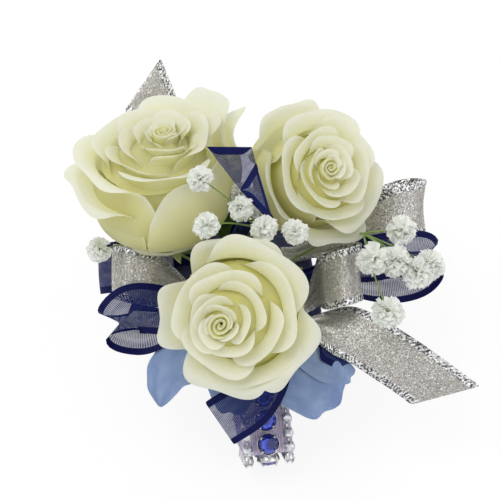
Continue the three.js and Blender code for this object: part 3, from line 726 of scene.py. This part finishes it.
def spiral_petal(form, rose, m, seed):
    """The petal at place m of the golden-angle spiral in which a rose's petals grow."""
    draw = random.Random(seed * 100 + m).uniform
    out = m / LAST_PETAL
    turn = rose.spin + m * GOLDEN_ANGLE + draw(-0.1, 0.1)
    toward = cos(turn - radians(rose.lies)) * out
    reach = (5.0 + 22.6 * out ** 1.3) * (1 + rose.open * toward) * draw(0.98, 1.025)
    top = 44.4 - rose.fall * out ** 1.5 - 60 * rose.open * toward + draw(-0.8, 0.6)
    first = len(form.points)
    petal(
        form, turn, foot=mix(2.0, 5.6, out),
        neck=(reach - mix(2.0, 5.4, out), top - mix(4.0, 6.4, out)), lip=(reach, top),
        flat=mix(0.3, 0.76, out),
        spread=radians(mix(96, 70, out) * draw(0.94, 1.08)),
        curl=mix(0.6, 2.2, out) * draw(0.85, 1.2),
        roll=radians(mix(55, 100, out) * draw(0.85, 1.1)),
        slope=mix(1.2, 1.0, out),
        tone=min(1.0, max(0.0, out * 0.8 + draw(-0.15, 0.2))),
        seed=seed * 1000 + m)
    drift(form, first, rose, off_centre(out))


def filling(form, rose):
    """The folded petals deep between the open ones, as one ridged surface below their lips."""
    far, place = rose.filling
    rows = []
    for i in range(FILLING_ROWS + 1):
        out = i / FILLING_ROWS * far
        radius = 3.5 + 20 * out
        x, y = (step * off_centre(out) for step in rose.heart)
        rows.append([])
        for t in circle(FILLING_SIDES):
            height = 39.6 - (rose.fall + 6) * out ** 1.4 + 0.5 * sin(5 * t + 9 * out)
            rows[-1].append(Vector((radius * cos(t) + x, radius * sin(t) + y, height)))
    form.grid(rows, ring=True, uv=lambda i, j: (j / 12, place), tone=0.0)


def guard_petal(form, guard, seed):
    """One of the outermost petals, which stand away from the flower."""
    turn, radius, height, spread, roll, curl, point, neck = guard
    petal(
        form, radians(turn), foot=6.2, neck=(radius * neck, height * 0.72), lip=(radius, height),
        flat=0.66, spread=radians(spread), curl=curl, roll=radians(roll), slope=0.6,
        tone=0.9, seed=seed, point=point)


def build_rose(name, rose, seed):
    for part, (low, high) in WHORLS.items():
        form = Form()
        for m in range(low, high):
            spiral_petal(form, rose, m, seed)
        if part == "middle_petals":
            filling(form, rose)
        if part == "outer_petals":
            for n, guard in enumerate(rose.guards):
                guard_petal(form, guard, seed * 1000 + 90 + n)
        place_rose(form, rose).show(name + "_rose_" + part, PETAL, "rose_petals", levels=1)
    form = Form()
    wound_heart(form, seed)
    drift(form, 0, rose, 1.0)
    place_rose(form, rose).show(name + "_rose_heart", PETAL, "rose_petals", levels=1)


class Band:
    """A strip of cloth along stations of a place and the direction of its width."""

    def __init__(self, stations, width):
        self.line = [Vector(s[:3]) for s in stations]
        self.ways = [Vector(s[3:]) for s in stations]
        self.width = width
        places = along_spline(self.line, 200)
        self.length = sum((q - p).length for p, q in zip(places, places[1:]))

    def frame(self, b):
        """A place on the middle line, the way ahead, the way across and the way up there."""
        here = spline(self.line, b)
        ahead = spline(self.line, min(1, b + 0.004)) - spline(self.line, max(0, b - 0.004))
        ahead.normalize()
        way = spline(self.ways, b)
        way = (way - ahead * way.dot(ahead)).normalized()
        return here, ahead, way, ahead.cross(way)

    def weave(self, form, share, along, across, cup, wave, seed, cut=0.0, gather=1.3):
        """Adds the strip to a form.

        share(b) is its width, cup bows it, wave moves its edges, cut slants its end, and gather is
        the depth of its pleats.
        """
        draw = random.Random(seed).uniform
        phase, edge_phase = draw(0, TURN), draw(0, TURN)

        def place(b, a):
            here, ahead, way, up = self.frame(b)
            wide = share(b)
            full = wide / self.width
            fold = (1 - full) * gather * ease(8 * min(b, 1 - b)) * cos(6 * pi * a + phase)
            bow = cup * (4 * a * (1 - a) - 0.6) * full
            turn = b * self.length / 6.0 + edge_phase + (3.0 if a > 0.5 else 0.0)
            edge = wave * full * ((2 * a - 1) ** 2) * sin(turn)
            here = here + ahead * (cut * (a - 0.5) * b ** 4)
            return here + way * ((a - 0.5) * wide) + up * (bow + edge + fold)

        form.patch(along, across, place, uv=lambda i, j: (
            j / across * self.width / 10, i / along * self.length / 10))


PAD_TOP = 49.1  # where a ribbon or stem lies on the pad
FACING = (0.1, 0.8, 0.6)  # the width of a loop's open part, turned to the camera
# Loops: root on the pad, stations out and back; one without a direction has FACING's.
LOOPS = {
    "silver_loop_front": (16, 12, [
        (32, 17, 53.5, 0, 1, 0.2), (40, 19, 60), (43.5, 13.5, 65.5),
        (37, 9, 69), (29, 11, 64), (25.5, 13, 55.5, 0, 1, 0.3)]),
    "silver_loop_right": (16, 38, [
        (32, 40, 50.5, 0, 1, 0.2), (52, 47, 54), (70, 50, 58), (75, 45, 62),
        (66, 41, 65), (46, 39, 57), (30, 38, 53, 0, 1, 0.2)]),
    "silver_loop_left": (-16, 26, [
        (-31, 29, 50.5, 0, 1, 0.2), (-44, 34, 54), (-53, 33, 58),
        (-49, 28, 62.5), (-38, 24.5, 60.5), (-28, 25.5, 54, 0, 1, 0.3)]),
    "navy_loop_left": (-16, 11, [
        (-31, 9, 51.5, 0, 1, 0.1), (-45, 6.5, 53), (-53, 7.5, 57),
        (-48, 11.5, 60), (-36, 11.5, 58, 0, 1, 0.5), (-27, 11, 54, 0, 1, 0.2)]),
    "navy_loop_far_left": (-17, 42, [
        (-34, 44, 49, 0, 1, 0.2), (-49, 46, 44.5), (-58, 44, 46),
        (-54, 41, 50), (-40, 41, 50.5), (-29, 42, 50.7, 0, 1, 0.2)]),
    "navy_loop_right": (16, 25, [
        (34, 24, 49.5, 0, 1, 0.2), (54, 21, 48.5), (68, 20, 52),
        (72, 23, 57), (62, 25, 58.5, 0, 1, 0.3), (46, 26, 55.5, 0, 1, 0.25),
        (30, 25, 52, 0, 1, 0.1)]),
}
# Tails: stations, slant of the cut end in millimetres, share of the length where it starts to open.
TAILS = {
    "silver_tail_front": ([
        (12, 3, 50, 0, 1, 0), (21, 1.5, 50.2, 0.2, 0.9, 0), (36, -4.8, 51.5, 0.5, 0.7, 0.25),
        (54, -18.2, 46.5, 0.64, 0.57, 0.5), (71, -31, 38, 0.64, 0.57, 0.5)], 18, 0.17),
    "silver_tail_back": ([
        (-13, 52, 49.1, 1, 0, 0), (-14, 60, 49.5, 1, 0, 0), (-18, 78, 54, 1, 0.1, 0),
        (-25, 99, 63, 0.9, 0.2, 0.3), (-31, 116, 75, 0.9, 0.2, 0.3)], 14, 0.25),
    "navy_tail": ([
        (1, 4, 49.1, 1, 0, 0), (2, -4, 49.3, 1, 0, 0), (1.5, -17, 50, 0.95, -0.25, -0.1),
        (-6, -30, 48.5, 0.4, -0.75, -0.52), (-19.3, -36, 44.5, 0.04, -0.79, -0.61)], 0, 0.25),
    "navy_end_right": ([
        (20, -1.8, 49.1, 0.3, 0.9, 0), (26, -4, 49.0, 0.4, 0.8, 0), (33, -8, 47.4, 0.5, 0.75, 0.15),
        (40, -13, 45, 0.5, 0.7, 0.2)], 12, 0.25),
}


def loop_stations(x, y, stations):
    """A loop leaves the pad, folds over and comes back onto its own root."""
    out = x + copysign(6, stations[0][0])
    over = PAD_TOP + 0.9
    first = [(x, y, PAD_TOP, 0, 1, 0), (out, y, PAD_TOP, 0, 1, 0)]
    stations = [s if s[3:] else (*s, *FACING) for s in stations]
    return first + stations + [(out, y, over, 0, 1, 0), (x, y, over, 0, 1, 0)]


def opening(share, low, high):
    """Rise of a ribbon's width from its pinched root to its full width."""
    return 0.36 + 0.64 * ease((share - low) / (high - low))


def finish_ribbon(form, name, width, long, body):
    silver = name.startswith("silver")
    look, thickness, slot = (SILVER, 0.3, "silver_ribbon") if silver else (NAVY, 0.0, "navy_ribbon")
    made = form.show(name, look, slot, body, thickness=thickness, levels=1)


def build_ribbon(name, stations, share, along, held, body="corsage", **shape):
    """A loop or tail; share(b) is how much of its full width is open there."""
    width = SILVER_WIDTH if name.startswith("silver") else NAVY_WIDTH
    strip, form = Band(stations, width), Form()
    strip.weave(form, lambda b: width * share(b), along, 12, **shape)
    finish_ribbon(form, name, width, strip.length, body)


def build_ribbons():
    def both_ends(b):
        return min(opening(b, 0.14, 0.34), opening(1 - b, 0.14, 0.34))

    for n, (name, (x, y, stations)) in enumerate(LOOPS.items()):
        line = loop_stations(x, y, stations)
        build_ribbon(name, line, both_ends, 72, "folded", cup=0.5, wave=0.35, seed=n + 20)
    for n, (name, (stations, cut, start)) in enumerate(TAILS.items()):
        build_ribbon(
            name, stations, lambda b: opening(b, start, 0.5), 56, "gathered",
            "corsage" if name == "navy_end_right" else name, cup=0.8, wave=0.5, seed=n + 40, cut=cut)


for number, rose_name in enumerate(ROSES):
    build_rose(rose_name, ROSES[rose_name], number + 3)
build_ribbons()


def leaf(form, stations, width, fold, ruffle, tip, seed, tone):
    """A leaf along stations; returns its length.

    fold is the rise of its sides over the midrib, ruffle the wave of its edge.
    """
    strip = Band(stations, width)
    phase = random.Random(seed).uniform(0, TURN)

    def place(b, a):
        here, _, way, up = strip.frame(b)
        wide = width * max(0.03, 0.16 * (1 - b) + 0.9 * sin(pi * b ** 0.85) ** tip)
        a = 2 * a - 1
        side = abs(a)
        wave = ruffle * side ** 2 * sin(11 * b + phase + (1.9 if a > 0 else 0)) * ease(b * 3)
        wave += 0.35 * ruffle * side ** 3 * sin(29 * b + 2 * phase)
        notch = 1 + 0.035 * sin(34 * b + phase) * side
        rise = fold * (side ** 1.3 - 0.4) * wide / width
        return here + way * (a * wide / 2 * notch) + up * (rise + wave)

    form.patch(26, 14, place, tone=tone)
    return strip.length


def lobe(form, stations, width, ruffle, seed, tone):
    """A broad fabric petal with a rounded, slightly scalloped end; returns its length."""
    strip = Band(stations, width)
    draw = random.Random(seed).uniform
    phase, lean = draw(0, TURN), draw(-0.06, 0.06)

    def place(b, a):
        a = 2 * a - 1
        side = abs(a)
        scallop = 0.035 * sin(8.5 * a + phase) * ease(2 * b - 1)
        end = 1 - 0.36 * side ** 2.8 - scallop + lean * a
        here, _, way, up = strip.frame(min(1.0, b * end))
        wide = width * (0.34 + 0.66 * sin(pi / 2 * min(1, 1.5 * b)))
        wave = ruffle * (0.3 + side) * sin(2.6 * a + 4 * b + phase) * ease(1.4 * b)
        wave += 0.3 * ruffle * side ** 2 * sin(17 * b + 2 * phase) * b
        return here + way * (a * wide / 2) + up * wave

    form.patch(26, 20, place, tone=tone)
    return strip.length


def finish_fabric(form, name):
    made = form.show(name, FABRIC, "blue_fabric", thickness=0.25, levels=1)


def build_leaves():
    # The tone of each blue piece sets its painted light; the right leaf's upper lobe, at 0.8, is painted
    # lightest.
    form = Form()
    long = leaf(form, [
        (-17, 2, 49.1, 0.6, -0.8, 0), (-26, -4, 48.9, 0.67, -0.74, 0), (-36, -11, 45, 0.8, -0.6, 0.1),
        (-41, -22, 40, 0.95, -0.3, 0.1)], 24, 1.6, 0.7, 0.7, 5, tone=0.4)
    finish_fabric(form, "blue_leaf_left")
    form = Form()
    long = lobe(form, [
        (11, -4, 49.6, 0.8, 0.6, 0.05), (15, -15, 46.6, 0.85, 0.5, 0.05),
        (20, -24, 42.8, 0.9, 0.42, 0.05), (25, -32.5, 38.8, 0.92, 0.38, 0.05)], 29, 0.7, 11, 0.35)
    upper = lobe(form, [
        (12, -4, 50.1, 0.3, 0.95, 0.1), (20, -11, 47.6, 0.4, 0.9, 0.15),
        (28, -16.5, 45, 0.5, 0.85, 0.15), (36.2, -19.6, 42.6, 0.6, 0.8, 0.1)], 15, 0.5, 12, 0.8)
    finish_fabric(form, "blue_leaf_right")
    form = Form()
    long = lobe(form, [
        (-9, -4.5, 49.1, 0.95, -0.3, 0), (-10.5, -9.5, 48.3, 0.95, -0.3, 0),
        (-12, -19, 44.5, 0.95, -0.3, 0), (-12, -30, 39.6, 0.95, -0.3, 0)], 22, 0.6, 17, 0.5)
    finish_fabric(form, "blue_leaf_front")
    for name, look, width, fold, stations in (
        ("green_leaf_centre", DARK_LEAF, 15, 1.8, [
            (1, 43, 49.1, 1, 0, 0), (0, 43, 54, 1, 0, 0), (-4, 41, 72, 1, 0.2, 0),
            (-5, 36, 89, 1, 0.2, 0)]),
        ("green_leaf_right", OLIVE_LEAF, 10, 1.2, [
            (9, 22, 49.1, 0, 1, 0), (12, 20, 54, 0.3, 1, 0), (17, 16, 64, 0.4, 0.9, 0),
            (20, 12, 74, 0.4, 0.9, 0)]),
    ):
        form = Form()
        leaf(form, stations, width, fold, 0.5, 0.9, 3, tone=0.0)
        form.show(name, look, "greenery", thickness=0.35, levels=1)


# Up a rose's hip: radius, height.
HIP = (
    (0.2, -11.2), (2.3, -11), (3.4, -9.6), (5.2, -7), (6.2, -4), (6.9, -1.2), (6.2, 0.8), (3.0, 2.6),
    (0.2, 4))
SEPALS = 5
HIP_LENGTH, STEM_RADIUS, STEM_HEIGHTS = 11, 2.12, (51.9, 51.0)


def build_calyx(name, rose):
    """The green hip and its sepals bent back."""
    form = Form()
    form.lathe(Vector, HIP, 30, 0.035, SEPALS, tone=0.1)
    for k, around in enumerate(circle(SEPALS)):
        draw = random.Random(k + 60).uniform
        turn = Quaternion(UP, rose.spin) @ Quaternion(UP, around)
        bend, curl = draw(0.6, 1.4), draw(-0.5, 0.5)

        def place(b, a):
            a = 2 * a - 1
            wide = 4.2 * (1 - b) ** 0.7 * (1 + 0.35 * sin(3 * pi * b)) + 0.15
            reach = 5.0 + 11.5 * b - 0.8 * b * a * a
            drop = -2.9 - 1.6 * b * b * bend - 2.4 * b ** 4 + 0.5 * a * a * (1 - b)
            return turn @ Vector((reach, a * wide + curl * 3 * b * b, drop))

        form.patch(12, 8, place, tone=draw(0.1, 0.6))
    place_rose(form, rose).show(name, SEPAL, "greenery", thickness=0.4, levels=1)


def build_stem(name, rose):
    """The taped stem, from the hip to where it lies on the pad."""
    up, foot = Vector(rose.axis).normalized(), Vector(rose.base)
    line = [foot - up * (HIP_LENGTH * rose.size + inside) for inside in (0.3, 0.6)]
    line += [Vector((*point, height)) for point, height in zip(rose.stem, STEM_HEIGHTS)]
    form = Form()
    form.tube(along_spline(line, 44), lambda t: STEM_RADIUS * (1 + 0.03 * sin(60 * t)), sides=14)
    form.show(name, TAPE, "stem_tape", levels=1)


# Sprigs: root on the pad, a point on the stem, its fork, size of the heads, their places. The one
# named _back is a second stem of the sprig before it.
SPRIGS = {
    "sprig_centre": ((8, 40), (6, 33, 68), (3, 23, 89), 1.0, [
        (-17, 31, 112), (-17, 15, 103), (-2.5, 24, 100), (5, 14, 99), (17, 13, 96)]),
    "sprig_right": ((11, 31), (34, 33, 62), (46, 25, 75), 1.18, [
        (61, 22.5, 77), (47.5, 9.5, 78), (56, 8.5, 76), (64, 5, 72), (70, 9.5, 70), (49, -13.5, 74)]),
    "sprig_centre_back": (
        (6, 41.5), (6.5, 42.5, 64), (4.5, 42, 76), 1.0, [(0.2, 41.5, 86), (3.2, 36.5, 86)]),
    "sprig_left": ((-14, 34), (-26, 37, 59.5), (-40.5, 34.5, 70.8), 1.0, [(-57.5, 34, 71.5)]),
}
SPRIG_ROOT = 49.45
HEAD_PETALS = 52


def bloom(form, centre, facing, size, seed):
    """A baby's breath head: small ruffled petals in layers round its centre."""
    draw = random.Random(seed).uniform
    lean = UP.rotation_difference(facing)
    for k in range(HEAD_PETALS):
        rise = 1 - 1.32 * (k + 0.5) / HEAD_PETALS
        round_ = sqrt(max(0.0, 1 - rise * rise))
        angle = k * GOLDEN_ANGLE + draw(-0.3, 0.3)
        out = lean @ Vector((round_ * cos(angle), round_ * sin(angle), rise))
        side = out.cross(Vector((0.31, 0.22, 0.92))).normalized()
        side = Quaternion(out, draw(-1.2, 1.2)) @ side
        up = out.cross(side)
        long = size * draw(0.84, 1.08)
        wide = size * draw(0.30, 0.42)
        bend = draw(0.1, 0.32) * long
        phase = draw(0, TURN)

        def place(b, a):
            a = 2 * a - 1
            spread = wide * (0.22 + 0.78 * sin(pi / 2 * min(1, 1.25 * b)))
            ruffle = 0.16 * size * b * b * sin(4.6 * a + phase)
            scallop = 0.05 * long * b * cos(7 * a + phase)
            reach = long * (0.16 + 0.84 * b) - 0.12 * long * b * a * a + scallop
            return centre + out * reach + side * (a * spread) + up * (bend * b * b + ruffle)

        form.patch(5, 5, place, tone=draw(0, 1))


def build_sprigs():
    for n, (name, (root, via, fork, size, blooms)) in enumerate(SPRIGS.items()):
        stems, heads = Form(), Form()
        node, back, _ = name.partition("_back")
        split = Vector(fork)
        trunk = [Vector((*root, SPRIG_ROOT)), Vector(via), split]
        stems.tube(along_spline(trunk, 18), lambda t: 0.62 - 0.14 * t, sides=8)
        for k, tip in enumerate(blooms):
            draw = random.Random(n * 50 + k).uniform
            end = Vector(tip)
            sway = Vector((draw(-1, 1), draw(-1, 1), draw(0.5, 1.6)))
            places = along_spline([split, split.lerp(end, 0.5) + sway, end], 14)
            stems.tube(places, lambda t: 0.42 - 0.1 * t, sides=7)
            away = (end - places[-4]).normalized()
            cup = [end - away * below for below in (2.6, 2.0, 1.0, 0.0)]
            stems.tube(cup, lambda t: 0.35 + 1.1 * ease(t), sides=9)
            facing = (away * 0.6 + TO_CAMERA).normalized()
            bloom(heads, end, facing, draw(4.9, 5.6) * size, n * 70 + k)
        stems.show(node, TWIG, "greenery", ending=back + "_stems", levels=1)
        heads.show(node, BLOOM, "babys_breath", ending=back + "_blooms")


def build_navy_end():
    """The ribbon end between the roses: a pleated stem, then a fold with its cut end."""
    root, low, turn = Vector((9.7, 16.6, 95)), Vector((-1.6, 33.2, 100)), Vector((5.8, 41.6, 105))
    top, far = Vector((4.8, 45.6, 110)), Vector((-12.3, 48, 110)) + TO_CAMERA * 3.5
    back = low - TO_CAMERA * 0.6
    form = Form()
    strip = Band([
        (-5, 22, 49.1, 1, 0, 0), (-5, 28, 49.7, 1, 0, 0), (-3, 34, 58, 1, -0.1, 0),
        (-1, 35, 74, 0.9, -0.2, 0), (4, 27, 86, 0.8, 0.3, 0.2), (9.7, 16.6, 95, 0.8, 0.3, 0.2)],
        NAVY_WIDTH)

    def share(b):
        return 7.2 - 4.0 * ease((b - 0.6) / 0.4)

    strip.weave(form, share, 50, 18, cup=0.0, wave=0.0, seed=77, gather=2.4)

    def panel(a0, a1, b0, b1, bulge):
        """The sheer cloth from edge a0-a1 to edge b0-b1, swollen towards the camera."""
        def place(t, s):
            lift = bulge * sin(pi * min(1, t * 0.9 + 0.1)) * sin(pi * s)
            return a0.lerp(a1, t).lerp(b0.lerp(b1, t), s) + TO_CAMERA * lift

        long = (a1 - a0).length / 10
        form.patch(16, 16, place, uv=lambda i, j: (0.3 + j / 16 * 1.4, i / 16 * long))

    def satin(p, q, inside, width, rise):
        """The satin edge of the cloth from p to q, on the side towards inside."""
        ahead = (q - p).normalized()
        way = inside - p
        way = (way - ahead * way.dot(ahead)).normalized()

        def place(t, s):
            wide = width * min(1.0, 0.1 + 5 * t, 0.1 + 5 * (1 - t))
            return p.lerp(q, t) + way * (wide * s) + TO_CAMERA * (0.2 + rise * s)

        long = (q - p).length / 10
        form.patch(14, 3, place, uv=lambda i, j: (0.02 + 0.07 * j, i / 14 * long))

    panel(root, low, turn, low, 1.4)
    panel(top, far, turn, back, -1.0)
    satin(root, turn, low, 1.1, 0.3)
    satin(root, low, turn, 2.6, 0.5)
    satin(turn, low, root, 2.6, 0.5)
    satin(top, far, back, 3.0, -0.3)
    finish_ribbon(form, "navy_end_centre", NAVY_WIDTH, strip.length + 24, "corsage")


build_leaves()
for rose_name, rose_shape in ROSES.items():
    build_calyx(rose_name + "_rose_calyx", rose_shape)
    build_stem(rose_name + "_rose_stem", rose_shape)
build_sprigs()
build_navy_end()

# The bracelet's run from the plate's front slot to its back one: three straight reaches and a bend.
RUN = [
    Vector((0, -6.8, 44)), Vector((0, -36.666, 19)), Vector((0, -22.666, 4.6)), Vector((0, 34.334, 4.6))]
BEND = RUN[-1], Vector((0, 48.334, 4.6)), Vector((0, 48.334, 44)), Vector((0, 26.8, 44))
RUN += [bezier(*BEND, i / 160) for i in range(1, 161)]
REACH = [0.0]
for first_point, second_point in zip(RUN, RUN[1:]):
    REACH.append(REACH[-1] + (second_point - first_point).length)
BLUE_COUNT, BLUE_PITCH, BLUE_BEFORE_FOLD = 14, 9.5, 3
CLEAR_COUNT, CLEAR_PITCH, CLEAR_BEFORE_FOLD, CLEAR_ROW = 24, 5.6, 5, 8.2
BLUE_CUP = (
    (0.3, 0.0), (3.5, 0.0), (3.75, 0.25), (4.35, 1.7), (4.6, 2.6), (4.55, 3.0), (4.3, 3.05), (4.2, 2.7),
    (3.2, 2.0), (0.3, 0.62))
CLEAR_CUP = (
    (0.2, 0.0), (1.7, 0.0), (1.85, 0.2), (2.25, 2.5), (2.28, 2.95), (2.1, 3.0), (1.5, 2.4), (0.2, 1.2))


def on_run(distance):
    """The place on the bracelet's run and its outward direction."""
    k = max(i for i in range(len(REACH) - 1) if REACH[i] <= distance + 1e-9)
    ahead = (RUN[k + 1] - RUN[k]).normalized()
    return RUN[k] + ahead * (distance - REACH[k]), Vector((0, ahead.z, -ahead.y))


def run_between(low, high, count):
    return [on_run(mix(low, high, i / count)) for i in range(count + 1)]


def setting(distance, across):
    """Turns a setting's own points, with Z outward, into its place on the run."""
    here, up = on_run(distance)
    side = Vector((1, 0, 0))
    deep = up.cross(side)
    return lambda p: here + side * (across + p[0]) + deep * p[1] + up * p[2]


def cut_stone(form, place, radius, table, girdle, top, culet, seed):
    """A brilliant: table, stars, kites and girdle facets over a pavilion, each with its tone, which
    paints a reflection on it.
    """
    chance = random.Random(seed)
    waist, shoulder = mix(table, radius, 0.45), mix(girdle, top, 0.62)

    def at(r, eighths, z):
        angle = pi / 4 * (eighths + 0.25)
        return place((r * cos(angle), r * sin(angle), z))

    def facet(tone, *corners):
        form.face([at(*corner) for corner in corners], tone)

    # The facet tones are painted reflections, set by chance, with the pavilion's facets dim.
    for k in range(8):
        half, end = k + 0.5, k + 1
        star = (waist, half, shoulder)
        facet(chance.choice((0.15, 0.4, 0.7, 0.95)), (0, k, top), (table, k, top), (table, end, top))
        facet(chance.choice((0.2, 0.6, 1.0)), (table, k, top), star, (table, end, top))
        facet(
            chance.uniform(0.1, 0.8), (table, k, top), (waist, k - 0.5, shoulder), (radius, k, girdle),
            star)
        for low, high in ((k, half), (half, end)):
            facet(chance.uniform(0, 0.6), star, (radius, low, girdle), (radius, high, girdle))
        for low, high in ((k, half), (half, end)):
            facet(0.2, (radius, low, girdle), (0, k, culet), (radius, high, girdle))


def prongs(form, place, wall, girdle, top, thick):
    """Four prongs up a cup's wall, with thicker ends bent over the stone."""
    line = (wall - 0.25, 0.8), (wall - 0.05, girdle - 0.2), (wall - 0.35, girdle + 0.6), (
        wall - 1.15, top - 0.1)
    for k in range(4):
        angle = pi / 4 + pi / 2 * k
        points = [place((r * cos(angle), r * sin(angle), z)) for r, z in line]
        form.tube(
            along_spline(points, 10), lambda t: thick * (1 + 0.35 * ease((t - 0.75) / 0.25)), sides=7)


def chain_bars(form, distances, across, inside):
    """The small bars that link one cup to the next."""
    for here, there in zip(distances, distances[1:]):
        line = run_between(here + inside, there - inside, 4)
        form.tube([p + up * 0.8 + Vector((across, 0, 0)) for p, up in line], lambda t: 0.45, sides=8)


def build_bracelet():
    fold = REACH[1]
    blue = [fold + (i + 0.5 - BLUE_BEFORE_FOLD) * BLUE_PITCH for i in range(BLUE_COUNT)]
    small = [fold + (i + 0.5 - CLEAR_BEFORE_FOLD) * CLEAR_PITCH for i in range(CLEAR_COUNT)]
    cups = Form()
    for n, distance in enumerate(blue):
        place = setting(distance, 0)
        cups.lathe(place, BLUE_CUP, 24, 0.012)
        prongs(cups, place, 4.6, 3.1, 4.6, 0.42)
        gem = Form()
        cut_stone(gem, place, 4.0, 2.5, 3.1, 4.6, 0.9, n + 5)
        name = "blue_stone_%02d" % (n + 1)
        gem.show(name, SAPPHIRE, "sapphire", "band", shade=False)
    chain_bars(cups, blue, 0, 3.4)
    cups.show("blue_cup_chain", METAL, "plated_metal", "band")
    for name, across, seed in (
        ("clear_chain_left", -CLEAR_ROW, 200), ("clear_chain_right", CLEAR_ROW, 250),
    ):
        cups, gems = Form(), Form()
        for n, distance in enumerate(small):
            place = setting(distance, across)
            cups.lathe(place, CLEAR_CUP, 16)
            prongs(cups, place, 2.3, 3.1, 4.3, 0.27)
            cut_stone(gems, place, 2.05, 1.3, 3.15, 4.6, 1.5, n + seed)
        chain_bars(cups, small, across, 1.6)
        cups.show(name, METAL, "clear_settings", "band", "_cups")
        gems.show(name, CLEAR, "clear_settings", "band", "_stones", shade=False)
    build_elastic(blue[0] - 4, small[-1] + 2.3)


def build_elastic(first, last):
    """The elastic behind the stones and its two links to the plate."""
    front, back = RUN[0].y, RUN[-1].y

    def slot_end(y, out):
        """Where a link goes up through the plate's slot, from below."""
        slanted = Vector((0, out, 0.5)).normalized()
        return [(Vector((0, y, 43.7)), slanted), (Vector((0, y, 44.9)), Vector((0, out, 0)))]

    pieces = {
        "elastic_band": run_between(first, last, 74),
        "elastic_front": slot_end(front, -1)[::-1] + run_between(2.2, first - 0.3, 7),
        "elastic_back": run_between(last + 0.3, REACH[-1] - 2.2, 12) + slot_end(back, 1),
    }
    for name, stations in pieces.items():
        rows = []
        for here, out in stations:
            rows.append([
                here + Vector((ELASTIC_WIDTH * (j / 40 - 0.5), 0, 0))
                + out * (0.14 * cos(pi * j / 4) - 0.75) for j in range(41)])
        long = sum((b[20] - a[20]).length for a, b in zip(rows, rows[1:]))
        form = Form()
        form.grid(rows, uv=lambda i, j: (j / 20, i / (len(rows) - 1) * long / 10))
        made = form.make(name + "_look", ELASTIC, thickness=0.6)
        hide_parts(name)
        if name == "elastic_band":
            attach(made, "band")
        elif name == "elastic_front":
            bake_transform(made)
        else:
            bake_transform(made)


# The felt pad: half width, half length, corner radius and middle, and its wall as inset, height.
PAD_HALF_X, PAD_HALF_Y, PAD_CORNER = 28, 33, 18.7
PAD_MIDDLE = Vector((0, 27, 0))
PAD_SIDES = 88
PAD_WALL = (
    (18.4, 45.5), (9, 45.5), (1.2, 45.5), (0.3, 45.9), (0, 46.6), (0, 47.5), (0.4, 48.2), (1.3, 48.5),
    (6, 48.5), (12, 48.5), (18.4, 48.5))


def build_pad():
    """The felt pad, with softened edges and an uneven, matted top."""
    def edge(inset, angle):
        x, y = cos(angle), sin(angle)
        corner = Vector((
            copysign(PAD_HALF_X - PAD_CORNER, x), copysign(PAD_HALF_Y - PAD_CORNER, y), 0))
        return corner + Vector((x, y, 0)) * (PAD_CORNER - inset) + PAD_MIDDLE

    form = Form()
    rows = []
    for inset, height in PAD_WALL:
        swell = 0.25 if 0.2 < inset < 1.4 else 0.0 if inset > 1.4 else 0.35
        row = []
        for p in (edge(inset, angle) for angle in circle(PAD_SIDES)):
            rough = noise.noise(Vector((p.x * 0.6, p.y * 0.6, height * 0.5)))
            worn = height - 0.2 * abs(rough) * (height > 47) + swell * 0.2 * rough
            row.append(Vector((p.x * (1 + 0.004 * rough), p.y, worn)))
        rows.append(row)
    form.grid(rows, ring=True)
    for row, height, order in ((rows[0], 45.5, 1), (rows[-1], 48.5, -1)):
        form.grid([row, [PAD_MIDDLE + UP * height] * PAD_SIDES][::order], ring=True)
    made = form.show("felt_pad", FELT, "felt", levels=1)


build_bracelet()
build_pad()
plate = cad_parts["wristlet_plate"]
plate.data.materials.clear()
plate.data.materials.append(METAL)
